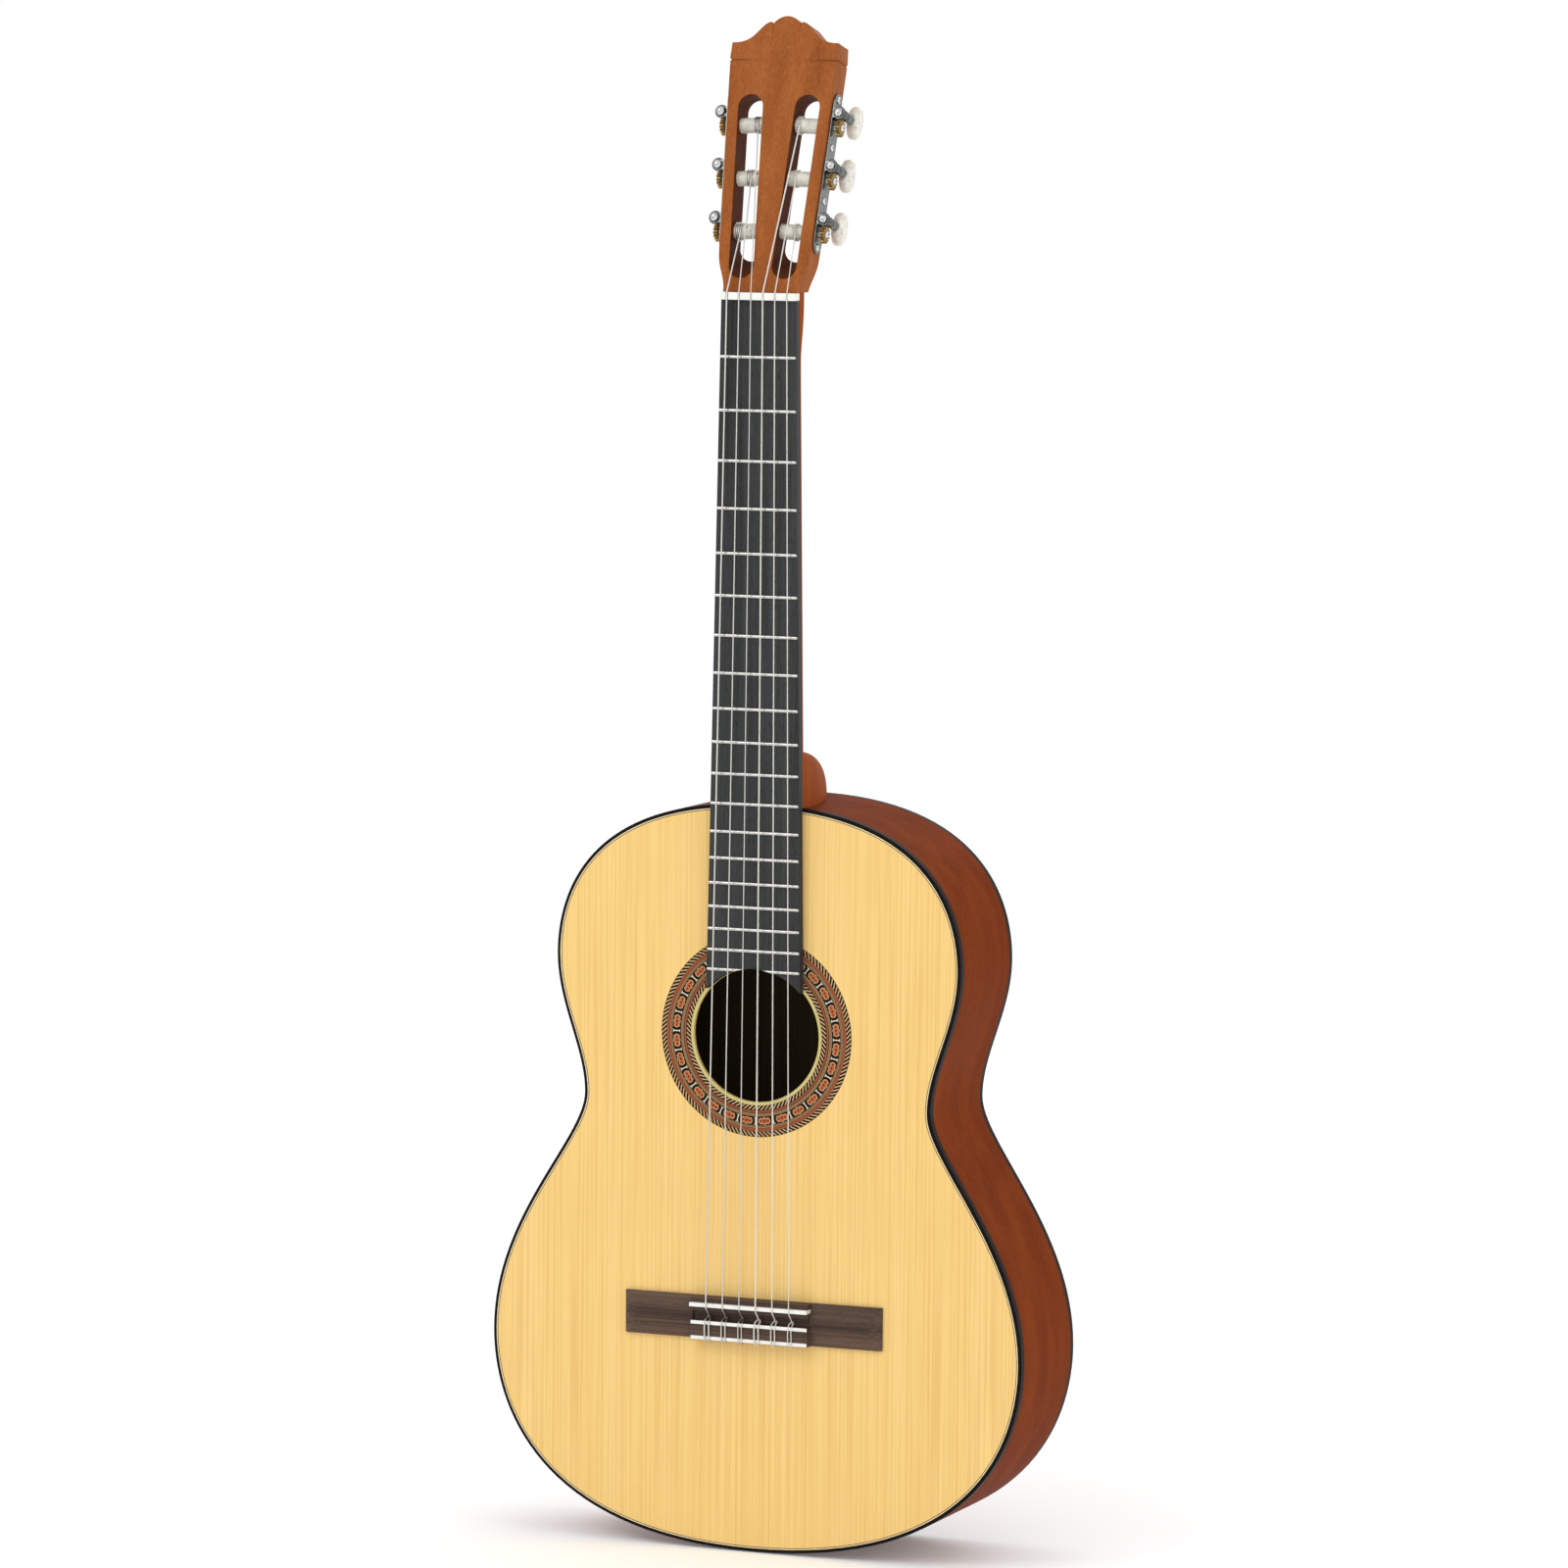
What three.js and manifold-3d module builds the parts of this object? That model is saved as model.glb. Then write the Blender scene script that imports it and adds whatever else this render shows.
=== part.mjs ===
// A full-size classical guitar with a slotted head, upright on the axis of its neck.
// Millimetres. +X is the treble side, +Y the back, +Z runs up the neck from the tail.
// Glued pieces keep a glue line between them, so that each stays a solid of its own.
import * as THREE from "three";
import { mergeVertices } from "three/addons/utils/BufferGeometryUtils.js";
import Module from "manifold-3d";

const wasm = await Module();
wasm.setup();

// ---- Driving dimensions ----
const GLUE = 0.1; // glue line between two pieces
const SCALE_LENGTH = 650; // sounding length of the strings
const BODY_LENGTH = 490;
const DEPTH_AT_NECK = 94;
const DEPTH_AT_TAIL = 100;
const NUT_Z = BODY_LENGTH + SCALE_LENGTH / 2; // the twelfth fret lies over the body's edge

// Half widths of the body and the heights where they lie.
const UPPER_BOUT = { x: 141.2, z: 386.7 };
const WAIST = { x: 121.1, z: 295.3 };
const LOWER_BOUT = { x: 185.6, z: 134.7 };
const CURVE_STEPS = 10; // straight steps in each of the four curves of half an outline

const PLATE = 2.6; // thickness of soundboard and back
const RIB = 2.2; // thickness of the sides
const BINDING = { wide: 2.2, deep: 6 };
const LINING = { wide: 5, deep: 13.3 };
const SOUNDHOLE = { z: BODY_LENGTH - 150.6, r: 43.7 };
const ROSETTE = { inner: 45.8, outer: 66.4, deep: 1 };

const NUT = { wide: 52, long: 5, high: 9.2, notch: 0.6 };
const BOARD = { thick: 6, endFromNut: 446, wideAtBody: 62 };
const FRETS = 19;
const FRET = { wide: 2.2, high: 1.1 };
const NECK = { thickAtNut: 14.6, thickAtBody: 17 };
const HEEL = { high: 34, deep: 91, fullness: 2.4 };

const BRIDGE = { half: 90, front: 648, back: 676, wing: 5.2, block: 9.2 };
const TIE = { front: 663.5, hole: 5, holeRadius: 0.9 }; // the block that the strings are tied to
const SADDLE = { half: 41, end: 0.3, floor: 3, fromNut: 653, thick: 2.6, top: 11.4 };
const STRING_SPREAD = { nut: 41.5, saddle: 58 };
const STRING_DIAMETERS = [1.09, 0.89, 0.74, 1.02, 0.82, 0.71]; // bass to treble
const stringX = (i, spread) => (i / 5 - 0.5) * spread;

const HEAD = { tilt: THREE.MathUtils.degToRad(14), thick: 18, faceAtNut: -4 };
const EDGE_LOW = new THREE.Vector2(31.4, 27); // the ends of the head's straight side edge
const EDGE_HIGH = new THREE.Vector2(37.2, 152.4);
const SLOT = { x: 14.1, wide: 17, low: 24, high: 130.3, ramp: 15 };
const ROLLER = { r: 5, depth: 9, heights: [14, 49, 84], reach: 28.5, spindle: 2 };
const STRING_AT_ROLLER = [19, 15.5, 14.5]; // how far from the middle each string meets its roller
const TUNER_PLATE = { thick: 1.2, front: 2.5, back: 15.5, low: 1, high: 106 };
const GEAR = { teeth: 14, pitch: 5.5, tip: 6.1, root: 4.65, thick: 2.6 };
const TOOTH = { tip: 0.4, foot: 1.2 };
const WORM = { pitch: 3.1, crest: 3.6, root: 2.3, shaft: 1.4, bearing: 3.2 };
const THREAD = { crest: 0.4, foot: 1.3, turns: 3.25 };
const BUTTON = { from: 24.5, long: 15, tall: 22, thick: 7.4 };

// ---- Materials ----
const wood = (color, roughness) =>
  new THREE.MeshStandardMaterial({ color, roughness, metalness: 0 });
const metal = (color, roughness) =>
  new THREE.MeshStandardMaterial({ color, roughness, metalness: 1 });
const spruce = wood(0xf2d488, 0.35);
const innerSpruce = wood(0xdcbf8c, 0.7);
const nato = wood(0x8a4419, 0.4);
const headWood = wood(0xa05c30, 0.4);
const rosewood = wood(0x4a302a, 0.55);
const fingerboardWood = wood(0x35302f, 0.6);
const rosetteWood = wood(0x8a4a35, 0.5);
const blackPlastic = wood(0x15100e, 0.3);
const whitePlastic = wood(0xf2f0ea, 0.35);
const pearl = wood(0xece6d8, 0.2);
const nickel = metal(0xa9acab, 0.25);
const brass = metal(0xa98545, 0.3);
const bassString = metal(0xd6d4cc, 0.35);
const nylon = wood(0xe8e0cc, 0.25);

const guitar = new THREE.Group();

function place(name, geometry, material, parent = guitar) {
  const mesh = new THREE.Mesh(geometry, material);
  mesh.name = name;
  parent.add(mesh);
  return mesh;
}

// ---- Solids ----
function solidOf(geometry) {
  const bare = geometry.clone();
  bare.deleteAttribute("normal");
  bare.deleteAttribute("uv");
  const merged = mergeVertices(bare, 1e-4);
  return new wasm.Manifold(
    new wasm.Mesh({
      numProp: 3,
      vertProperties: merged.attributes.position.array,
      triVerts: new Uint32Array(merged.index.array),
    }),
  );
}

function geometryOf(solid) {
  const mesh = solid.getMesh();
  return new THREE.BufferGeometry()
    .setAttribute("position", new THREE.BufferAttribute(mesh.vertProperties, 3))
    .setIndex(new THREE.BufferAttribute(mesh.triVerts, 1));
}

const combine = (how) => (first, ...others) =>
  geometryOf(others.reduce((made, g) => made[how](solidOf(g)), solidOf(first)));
const cut = combine("subtract");
const join = combine("add");
const common = combine("intersect");

const mirrorX = (geometry) => geometryOf(solidOf(geometry).mirror([1, 0, 0]));

// A piece cut to a shape drawn in x and z, between two depths. A depth may change with z.
function slab(shape, front, back, curveSegments = 12) {
  const at = (depth, z) => (typeof depth === "function" ? depth(z) : depth);
  const made = new THREE.ExtrudeGeometry(shape, { depth: 1, bevelEnabled: false, curveSegments });
  made.rotateX(Math.PI / 2);
  const p = made.attributes.position;
  for (let i = 0; i < p.count; i++) {
    const towardsFront = -p.getY(i);
    const z = p.getZ(i);
    p.setY(i, at(back, z) + towardsFront * (at(front, z) - at(back, z)));
  }
  return made;
}

const box = (wide, deep, high, x, y, z) =>
  new THREE.BoxGeometry(wide, deep, high).translate(x, y, z);

const rectangle = (x0, x1, z0, z1) =>
  new THREE.Shape([
    new THREE.Vector2(x0, z0),
    new THREE.Vector2(x1, z0),
    new THREE.Vector2(x1, z1),
    new THREE.Vector2(x0, z1),
  ]);

// A closed skin over a row of rings with the same number of points, with a fan over each end.
function loft(rings) {
  const around = rings[0].length;
  const points = rings.flat();
  const centre = (ring) =>
    ring.reduce((sum, p) => sum.add(p), new THREE.Vector3()).divideScalar(around);
  points.push(centre(rings[0]), centre(rings.at(-1)));
  const first = points.length - 2;
  const last = points.length - 1;
  const index = [];
  for (let j = 0; j < around; j++) {
    const k = (j + 1) % around;
    for (let i = 0; i + 1 < rings.length; i++) {
      const a = i * around;
      index.push(a + j, a + k, a + around + k, a + j, a + around + k, a + around + j);
    }
    const end = (rings.length - 1) * around;
    index.push(first, k, j, last, end + j, end + k);
  }
  return new THREE.BufferGeometry().setFromPoints(points).setIndex(index);
}

// ---- The body's outline ----
const v2 = (x, z) => new THREE.Vector2(x, z);
const outlineCurves = [
  [v2(0, BODY_LENGTH), v2(121.5, BODY_LENGTH), v2(UPPER_BOUT.x, UPPER_BOUT.z + 37.6)],
  [v2(UPPER_BOUT.x, UPPER_BOUT.z), v2(UPPER_BOUT.x, UPPER_BOUT.z - 34.3), v2(WAIST.x, WAIST.z + 28.4)],
  [v2(WAIST.x, WAIST.z), v2(WAIST.x, WAIST.z - 30.9), v2(LOWER_BOUT.x, LOWER_BOUT.z + 75.8)],
  [v2(LOWER_BOUT.x, LOWER_BOUT.z), v2(LOWER_BOUT.x, LOWER_BOUT.z - 52.5), v2(152.9, 0)],
].map(([start, ...handles], i, all) => {
  const end = i + 1 < all.length ? all[i + 1][0] : v2(0, 0);
  return new THREE.CubicBezierCurve(start, ...handles, end);
});

// The treble half, from the neck to the tail, moved inwards by the inset.
function halfOutline(inset) {
  const points = [];
  outlineCurves.forEach((curve, i) => {
    for (let s = i ? 1 : 0; s <= CURVE_STEPS; s++) {
      const t = s / CURVE_STEPS;
      const p = curve.getPoint(t);
      const along = curve.getTangent(t);
      points.push(v2(p.x + along.y * inset, p.y - along.x * inset));
    }
  });
  points[0].x = 0;
  points.at(-1).x = 0;
  return points;
}

const mirrored = (points) => points.map((p) => v2(-p.x, p.y)).reverse();
function fullOutline(inset) {
  const half = halfOutline(inset);
  return [...half, ...mirrored(half).slice(1, -1)].reverse();
}
const outlineShape = (inset) => new THREE.Shape(fullOutline(inset));
const circle = (r, z) => new THREE.Path().absarc(0, z, r, 0, 2 * Math.PI, false);
function ringShape(outer, inner) {
  const shape = outlineShape(outer);
  shape.holes.push(new THREE.Path(fullOutline(inner)));
  return shape;
}

const depthAt = (z) =>
  DEPTH_AT_TAIL + ((DEPTH_AT_NECK - DEPTH_AT_TAIL) * z) / BODY_LENGTH;
const fromBack = (inwards) => (z) => depthAt(z) - inwards;
const PLATE_INSET = BINDING.wide + GLUE;
const LINING_INSET = RIB + GLUE;
const INSIDE = LINING_INSET + LINING.wide + GLUE; // inset of the free space inside the linings

// ---- Body ----
function soundboard() {
  const shape = outlineShape(PLATE_INSET);
  shape.holes.push(circle(SOUNDHOLE.r, SOUNDHOLE.z));
  const channel = new THREE.Shape();
  channel.absarc(0, SOUNDHOLE.z, ROSETTE.outer + GLUE, 0, 2 * Math.PI, false);
  channel.holes.push(circle(ROSETTE.inner - GLUE, SOUNDHOLE.z));
  const plate = slab(shape, 0, PLATE, 18);
  place("soundboard", cut(plate, slab(channel, -1, ROSETTE.deep + GLUE, 18)), spruce);
}

function rosette() {
  const shape = new THREE.Shape();
  shape.absarc(0, SOUNDHOLE.z, ROSETTE.outer, 0, 2 * Math.PI, false);
  shape.holes.push(circle(ROSETTE.inner, SOUNDHOLE.z));
  place("rosette", slab(shape, 0, ROSETTE.deep, 18), rosetteWood);
}

function back() {
  place("back", slab(outlineShape(PLATE_INSET), fromBack(PLATE), fromBack(0)), nato);
}

function sides() {
  for (const [name, side] of [["treble_side", 1], ["bass_side", -1]]) {
    const outer = halfOutline(0);
    const inner = halfOutline(RIB).reverse();
    const points = [...outer, ...inner].map((p) => v2(side * Math.max(p.x, GLUE / 2), p.y));
    const shape = new THREE.Shape(points);
    const edge = BINDING.deep + GLUE;
    place(name, slab(shape, edge, fromBack(edge)), nato);
  }
}

function bindings() {
  const shape = ringShape(0, BINDING.wide);
  place("front_binding", slab(shape, 0, BINDING.deep), blackPlastic);
  place("back_binding", slab(shape, fromBack(BINDING.deep), fromBack(0)), blackPlastic);
}

function linings() {
  const shape = ringShape(LINING_INSET, LINING_INSET + LINING.wide);
  const near = PLATE + GLUE;
  place("front_lining", slab(shape, near, near + LINING.deep), innerSpruce);
  place("back_lining", slab(shape, fromBack(near + LINING.deep), fromBack(near)), innerSpruce);
}

// The end blocks stand on the plates inside the linings, and reach the sides between them.
function endBlock(name, half, z0, z1) {
  const near = PLATE + GLUE;
  const past = near + LINING.deep + GLUE;
  const blank = slab(rectangle(-half, half, z0, z1), 0, DEPTH_AT_TAIL);
  const core = common(blank, slab(outlineShape(INSIDE), near, fromBack(near)));
  const tongue = common(blank, slab(outlineShape(LINING_INSET), past, fromBack(past)));
  place(name, join(core, tongue), innerSpruce);
}

function topBraces() {
  const near = PLATE + GLUE;
  const bars = [["upper_transverse_brace", 400, 130], ["lower_transverse_brace", 275, 112]];
  for (const [name, z, half] of bars) {
    place(name, slab(rectangle(-half, half, z - 4, z + 4), near, near + 14), innerSpruce);
  }
  for (let i = 0; i < 5; i++) {
    const fan = new THREE.BoxGeometry(5, 6, 185).translate(0, near + 3, -185 / 2);
    const turned = place(`fan_brace_${i + 1}`, fan, innerSpruce);
    turned.position.set((i - 2) * 26, 0, 262);
    turned.rotation.y = THREE.MathUtils.degToRad(-8 * (i - 2));
  }
}

function backBraces() {
  const near = PLATE + GLUE;
  const braces = [["upper", 425, 122], ["middle", 272, 112], ["lower", 130, 172]];
  for (const [where, z, half] of braces) {
    const bar = slab(rectangle(-half, half, z - 5, z + 5), fromBack(near + 12), fromBack(near));
    place(`${where}_back_brace`, bar, innerSpruce);
  }
}

// ---- Neck ----
const boardHalf = (z) =>
  THREE.MathUtils.mapLinear(z, NUT_Z, BODY_LENGTH, NUT.wide, BOARD.wideAtBody) / 2;

// Half an ellipse across the neck, squarer near the head, with a flat front for the fingerboard.
function neckSection(z, deep, squareness) {
  const steps = 12;
  const ring = [];
  for (let i = 0; i <= steps; i++) {
    const angle = (Math.PI * i) / steps;
    const c = Math.cos(angle);
    const x = Math.sign(c) * Math.abs(c) ** (2 / squareness) * boardHalf(z);
    const y = deep * Math.abs(Math.sin(angle)) ** (2 / squareness);
    ring.push(new THREE.Vector3(x, y, z));
  }
  return ring;
}

// The heel is a full, rounded dome that drops onto the shaft in a short cove.
function neckDepth(up) {
  const along = THREE.MathUtils.clamp(up / (SCALE_LENGTH / 2), 0, 1);
  const shaft = THREE.MathUtils.lerp(NECK.thickAtBody, NECK.thickAtNut, along);
  const risen = THREE.MathUtils.clamp(up / HEEL.high, 0, 1);
  const heel = HEEL.deep * (1 - risen ** HEEL.fullness) ** (1 / HEEL.fullness);
  return (shaft ** 6 + heel ** 6) ** (1 / 6);
}

function neck() {
  const top = SCALE_LENGTH / 2 + NUT.long - GLUE;
  const heel = [0, 15, 30, 42, 54, 64, 73, 79, 83, 86, 90];
  const heights = heel.map((angle) => HEEL.high * Math.sin(THREE.MathUtils.degToRad(angle)));
  const rings = [-12, ...heights, 46, 150, 285, 300, 312, top].map((up) => {
    const squareness = 2 + 3 * THREE.MathUtils.smoothstep(up, 285, top);
    return neckSection(BODY_LENGTH + up, neckDepth(up), squareness);
  });
  const body = slab(outlineShape(-GLUE), -10, DEPTH_AT_TAIL + 10);
  place("neck", cut(loft(rings), body), nato);
}

const fretFromNut = (n) => SCALE_LENGTH * (1 - 2 ** (-n / 12));

// The frets are pressed into the board, so they are one piece with it here.
function fingerboard() {
  const top = NUT_Z - GLUE;
  const end = NUT_Z - BOARD.endFromNut;
  const trebleEdge = [v2(boardHalf(end), end), v2(boardHalf(top), top)];
  const shape = new THREE.Shape([...trebleEdge, ...mirrored(trebleEdge)]);
  const front = -GLUE - BOARD.thick;
  const frets = [];
  for (let n = 1; n <= FRETS; n++) {
    const z = NUT_Z - fretFromNut(n);
    const high = 2 * FRET.high;
    frets.push(box(2 * boardHalf(z) - 1, high, FRET.wide, 0, front, z));
  }
  const hole = new THREE.CylinderGeometry(SOUNDHOLE.r + 0.6, SOUNDHOLE.r + 0.6, 30, 48);
  const board = join(slab(shape, front, -GLUE), ...frets);
  place("fretted_fingerboard", cut(board, hole.translate(0, 0, SOUNDHOLE.z)), fingerboardWood);
}

// The nut is a bar with a notch for each string.
function nut() {
  const half = NUT.wide / 2;
  const long = NUT.long - 2 * GLUE;
  const bar = box(2 * half, NUT.high - GLUE, long, 0, -(NUT.high + GLUE) / 2, NUT_Z + NUT.long / 2);
  const notches = STRING_DIAMETERS.map((d, i) =>
    box(d + 0.3, 2 * NUT.notch, 20, stringX(i, STRING_SPREAD.nut), -NUT.high, NUT_Z),
  );
  place("nut", cut(bar, ...notches), whitePlastic);
}

// ---- Bridge ----
const WING_FALL = 20; // length of each wing that slopes down to its end
const WING_SLOPE = 0.16;

function bridge() {
  const bar = (half, front, back, low, high) =>
    box(2 * half, high - low, back - front, 0, -(low + high) / 2, NUT_Z - (front + back) / 2);
  const floor = bar(BRIDGE.half, BRIDGE.front, BRIDGE.back, GLUE, BRIDGE.wing);
  const saddleEnd = SADDLE.fromNut + 4;
  const saddleBlock = bar(SADDLE.half, BRIDGE.front + 1.5, saddleEnd, 1, BRIDGE.block - 1);
  const tieBlock = bar(SADDLE.half, TIE.front, BRIDGE.back, 1, BRIDGE.block);
  const slot = SADDLE.thick / 2 + GLUE;
  const inner = SADDLE.half + SADDLE.end;
  const saddleSlot = bar(inner, SADDLE.fromNut - slot, SADDLE.fromNut + slot, SADDLE.floor, 20);
  const channel = bar(SADDLE.half, saddleEnd, TIE.front, 3.6, 20);
  const middle = NUT_Z - (TIE.front + BRIDGE.back) / 2;
  const holes = STRING_DIAMETERS.map((_, i) => {
    const r = TIE.holeRadius;
    const bore = new THREE.CylinderGeometry(r, r, 20, 8).rotateX(Math.PI / 2);
    return bore.translate(stringX(i, STRING_SPREAD.saddle), -TIE.hole, middle);
  });
  // The wings fall away in a flat chamfer towards each end.
  const chamfer = box(40, 10, 60, 20, -5 - BRIDGE.wing, 0);
  chamfer.applyMatrix4(new THREE.Matrix4().makeShear(WING_SLOPE, 0, 0, 0, 0, 0));
  chamfer.translate(BRIDGE.half - WING_FALL, 0, NUT_Z - BRIDGE.front);
  const blank = join(floor, saddleBlock, tieBlock);
  place("bridge", cut(blank, saddleSlot, channel, chamfer, mirrorX(chamfer), ...holes), rosewood);
}

function saddle() {
  const half = SADDLE.half + SADDLE.end - GLUE;
  const low = SADDLE.floor + GLUE;
  const middle = -(low + SADDLE.top) / 2;
  const strip = box(2 * half, SADDLE.top - low, SADDLE.thick, 0, middle, NUT_Z - SADDLE.fromNut);
  place("saddle", strip, whitePlastic);
}

// ---- Head ----
// The head's frame leans back from the nut: z runs up its face and y into its thickness.
const head = new THREE.Group();
head.position.set(0, HEAD.faceAtNut, NUT_Z + NUT.long);
head.rotation.x = -HEAD.tilt;
guitar.add(head);

const LEAN = Math.atan2(EDGE_HIGH.x - EDGE_LOW.x, EDGE_HIGH.y - EDGE_LOW.y);

function headOutline() {
  const half = new THREE.Path();
  half.moveTo(25.6, -8);
  half.lineTo(25.6, 1);
  half.bezierCurveTo(26.4, 12, 31, 15, EDGE_LOW.x, EDGE_LOW.y);
  half.lineTo(EDGE_HIGH.x, EDGE_HIGH.y);
  half.lineTo(36.4, 153.2);
  half.lineTo(37.4, 154);
  half.lineTo(36.8, 164.4);
  half.bezierCurveTo(24, 164, 21, 171, 16, 175.5);
  half.quadraticCurveTo(12.6, 178.6, 10.4, 178);
  half.lineTo(9.4, 176.6);
  half.lineTo(8.6, 178.2);
  half.quadraticCurveTo(4.5, 182, 0, 182);
  const points = half.getPoints(5);
  return new THREE.Shape([...points, ...mirrored(points).slice(1)]);
}

// Each slot has round ends, and at its lower end the face is ramped away for the strings.
function slotCutter() {
  const r = SLOT.wide / 2;
  const shape = new THREE.Shape();
  shape.absarc(0, SLOT.high - r, r, 0, Math.PI, false);
  shape.absarc(0, SLOT.low + r, r, Math.PI, 2 * Math.PI, false);
  const through = slab(shape, -10, HEAD.thick + 10, 5);
  const shear = new THREE.Matrix4().makeShear(0, 0, 0, SLOT.ramp / HEAD.thick, 0, 0);
  const leaning = slab(shape, -10, HEAD.thick, 5).translate(0, -HEAD.thick, 0).applyMatrix4(shear);
  const ramp = common(leaning.translate(0, HEAD.thick, 0), box(40, 80, 60, 0, 0, SLOT.low + 10));
  return join(through, ramp).rotateY(LEAN).translate(SLOT.x, 0, 0);
}

// A bore for each roller, through the head's side wall and on into its middle.
function rollerBores() {
  const r = ROLLER.r + 0.3;
  return ROLLER.heights.map((up) =>
    new THREE.CylinderGeometry(r, r, ROLLER.reach + 10, 16)
      .rotateZ(Math.PI / 2)
      .translate(5 - ROLLER.reach / 2, ROLLER.depth, up)
      .rotateY(LEAN)
      .translate(EDGE_LOW.x, 0, EDGE_LOW.y),
  );
}

function headstock() {
  const groove = new THREE.BoxGeometry(60, 2, 1.4).rotateZ(0.035).translate(38, -0.1, 152.6);
  const oneSide = [slotCutter(), ...rollerBores(), groove];
  const level = box(90, 90, 40, 0, 0, -20 + GLUE / 2).rotateX(HEAD.tilt);
  const blank = slab(headOutline(), 0, HEAD.thick);
  place("headstock", cut(blank, level, ...oneSide, ...oneSide.map(mirrorX)), headWood, head);
}

// ---- Tuners ----
// In a tuner's frame x runs out of the head's side edge, y into its depth and z up the edge.
const WORM_ABOVE = GEAR.pitch + WORM.pitch;
const WORM_OUT = GLUE + TUNER_PLATE.thick + WORM.crest + 0.2;
const GEAR_FROM = WORM_OUT - GEAR.thick / 2;
const LEAD = (2 * Math.PI * GEAR.pitch) / GEAR.teeth; // one turn of the worm moves one tooth

function tunerFrame(side) {
  const frame = new THREE.Group();
  frame.position.set(side * EDGE_LOW.x, 0, EDGE_LOW.y);
  frame.rotation.y = side * LEAN;
  head.add(frame);
  return frame;
}

const sided = (side, geometry) => (side > 0 ? geometry : mirrorX(geometry));
const acrossEdge = (geometry) => geometry.rotateZ(-Math.PI / 2); // from the y axis to the x axis

function earShape(up) {
  const ear = new THREE.Shape();
  const r = WORM.bearing;
  ear.moveTo(TUNER_PLATE.thick / 2, up - r);
  ear.lineTo(WORM_OUT, up - r);
  ear.absarc(WORM_OUT, up, r, -Math.PI / 2, Math.PI / 2, false);
  ear.lineTo(TUNER_PLATE.thick / 2, up + r);
  ear.holes.push(new THREE.Path().absarc(WORM_OUT, up, WORM.shaft + 0.3, 0, 2 * Math.PI, false));
  return ear;
}

function tunerPlate() {
  const { front, back, low, high, thick } = TUNER_PLATE;
  const r = (back - front) / 2;
  const strip = new THREE.Shape();
  strip.absarc(0, high - r, r, 0, Math.PI, false);
  strip.absarc(0, low + r, r, Math.PI, 2 * Math.PI, false);
  const flat = slab(strip, 0, thick, 5).rotateZ(-Math.PI / 2).translate(GLUE, (front + back) / 2, 0);
  const ears = ROLLER.heights.flatMap((up) => {
    const ear = earShape(up + WORM_ABOVE);
    return [slab(ear, front, front + thick, 4), slab(ear, back - thick, back, 4)];
  });
  const holes = ROLLER.heights.map((up) => {
    const r = ROLLER.spindle + 0.3;
    return acrossEdge(new THREE.CylinderGeometry(r, r, 10, 10)).translate(0, ROLLER.depth, up);
  });
  return cut(join(flat, ...ears), ...holes);
}

// A white barrel in the slot, with a spindle that carries the gear outside the plate.
function roller() {
  const outline = [[0, -ROLLER.reach], [ROLLER.r, -ROLLER.reach], [ROLLER.r, -0.3]];
  outline.push([ROLLER.spindle, -0.3], [ROLLER.spindle, GEAR_FROM - GLUE], [0, GEAR_FROM - GLUE]);
  return acrossEdge(new THREE.LatheGeometry(outline.map(([r, y]) => v2(r, y)), 16));
}

function gear() {
  const rising = [v2(-TOOTH.foot / 2, GEAR.root), v2(-TOOTH.tip / 2, GEAR.tip)];
  const tooth = [...rising, ...mirrored(rising)];
  const points = [];
  for (let i = 0; i < GEAR.teeth; i++) {
    const turn = (-2 * Math.PI * i) / GEAR.teeth;
    points.push(...tooth.map((p) => p.clone().rotateAround(v2(0, 0), turn)));
  }
  const shape = new THREE.Shape(points);
  return slab(shape, 0, GEAR.thick).rotateZ(-Math.PI / 2).translate(GEAR_FROM, 0, 0);
}

// The worm is a right-handed thread on both sides: its cross-section, a cam, turns as it rises.
function worm(side) {
  const degrees = 360 / LEAD; // of thread for each millimetre of width
  const half = [[0, WORM.crest], [THREAD.crest / 2, WORM.crest], [THREAD.foot / 2, WORM.root]];
  const around = half.map(([wide, r]) => [wide * degrees, r]);
  around.push([145, WORM.root], [180, WORM.root]);
  const cam = [...around, ...around.slice(1, -1).reverse().map(([angle, r]) => [-angle, r])];
  const twist = 360 * THREAD.turns;
  const points = cam.map(([angle, r]) => {
    const turned = THREE.MathUtils.degToRad(angle - twist / 2);
    return [r * Math.cos(turned), r * Math.sin(turned)];
  });
  const steps = Math.round(THREAD.turns * 7);
  const long = THREAD.turns * LEAD;
  const thread = geometryOf(wasm.Manifold.extrude([points], long, steps, twist, [1, 1], true));
  const towardsCrown = new THREE.Vector3(0, 0, 1);
  const across = new THREE.Vector3(1, 0, 0);
  const along = new THREE.Vector3(0, 1, 0);
  thread.applyMatrix4(new THREE.Matrix4().makeBasis(towardsCrown, across, along));
  thread.translate(0, ROLLER.depth, 0);
  const shaft = [[0, 0.6], [2, 0.6], [2.6, 1.2], [2.6, TUNER_PLATE.front - GLUE]];
  shaft.push([WORM.shaft, TUNER_PLATE.front - GLUE], [WORM.shaft, 19], [2.6, 20]);
  shaft.push([2.6, BUTTON.from - GLUE], [0, BUTTON.from - GLUE]);
  const made = join(thread, new THREE.LatheGeometry(shaft.map(([r, y]) => v2(r, y)), 10));
  return made.translate(side * WORM_OUT, 0, WORM_ABOVE);
}

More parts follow.
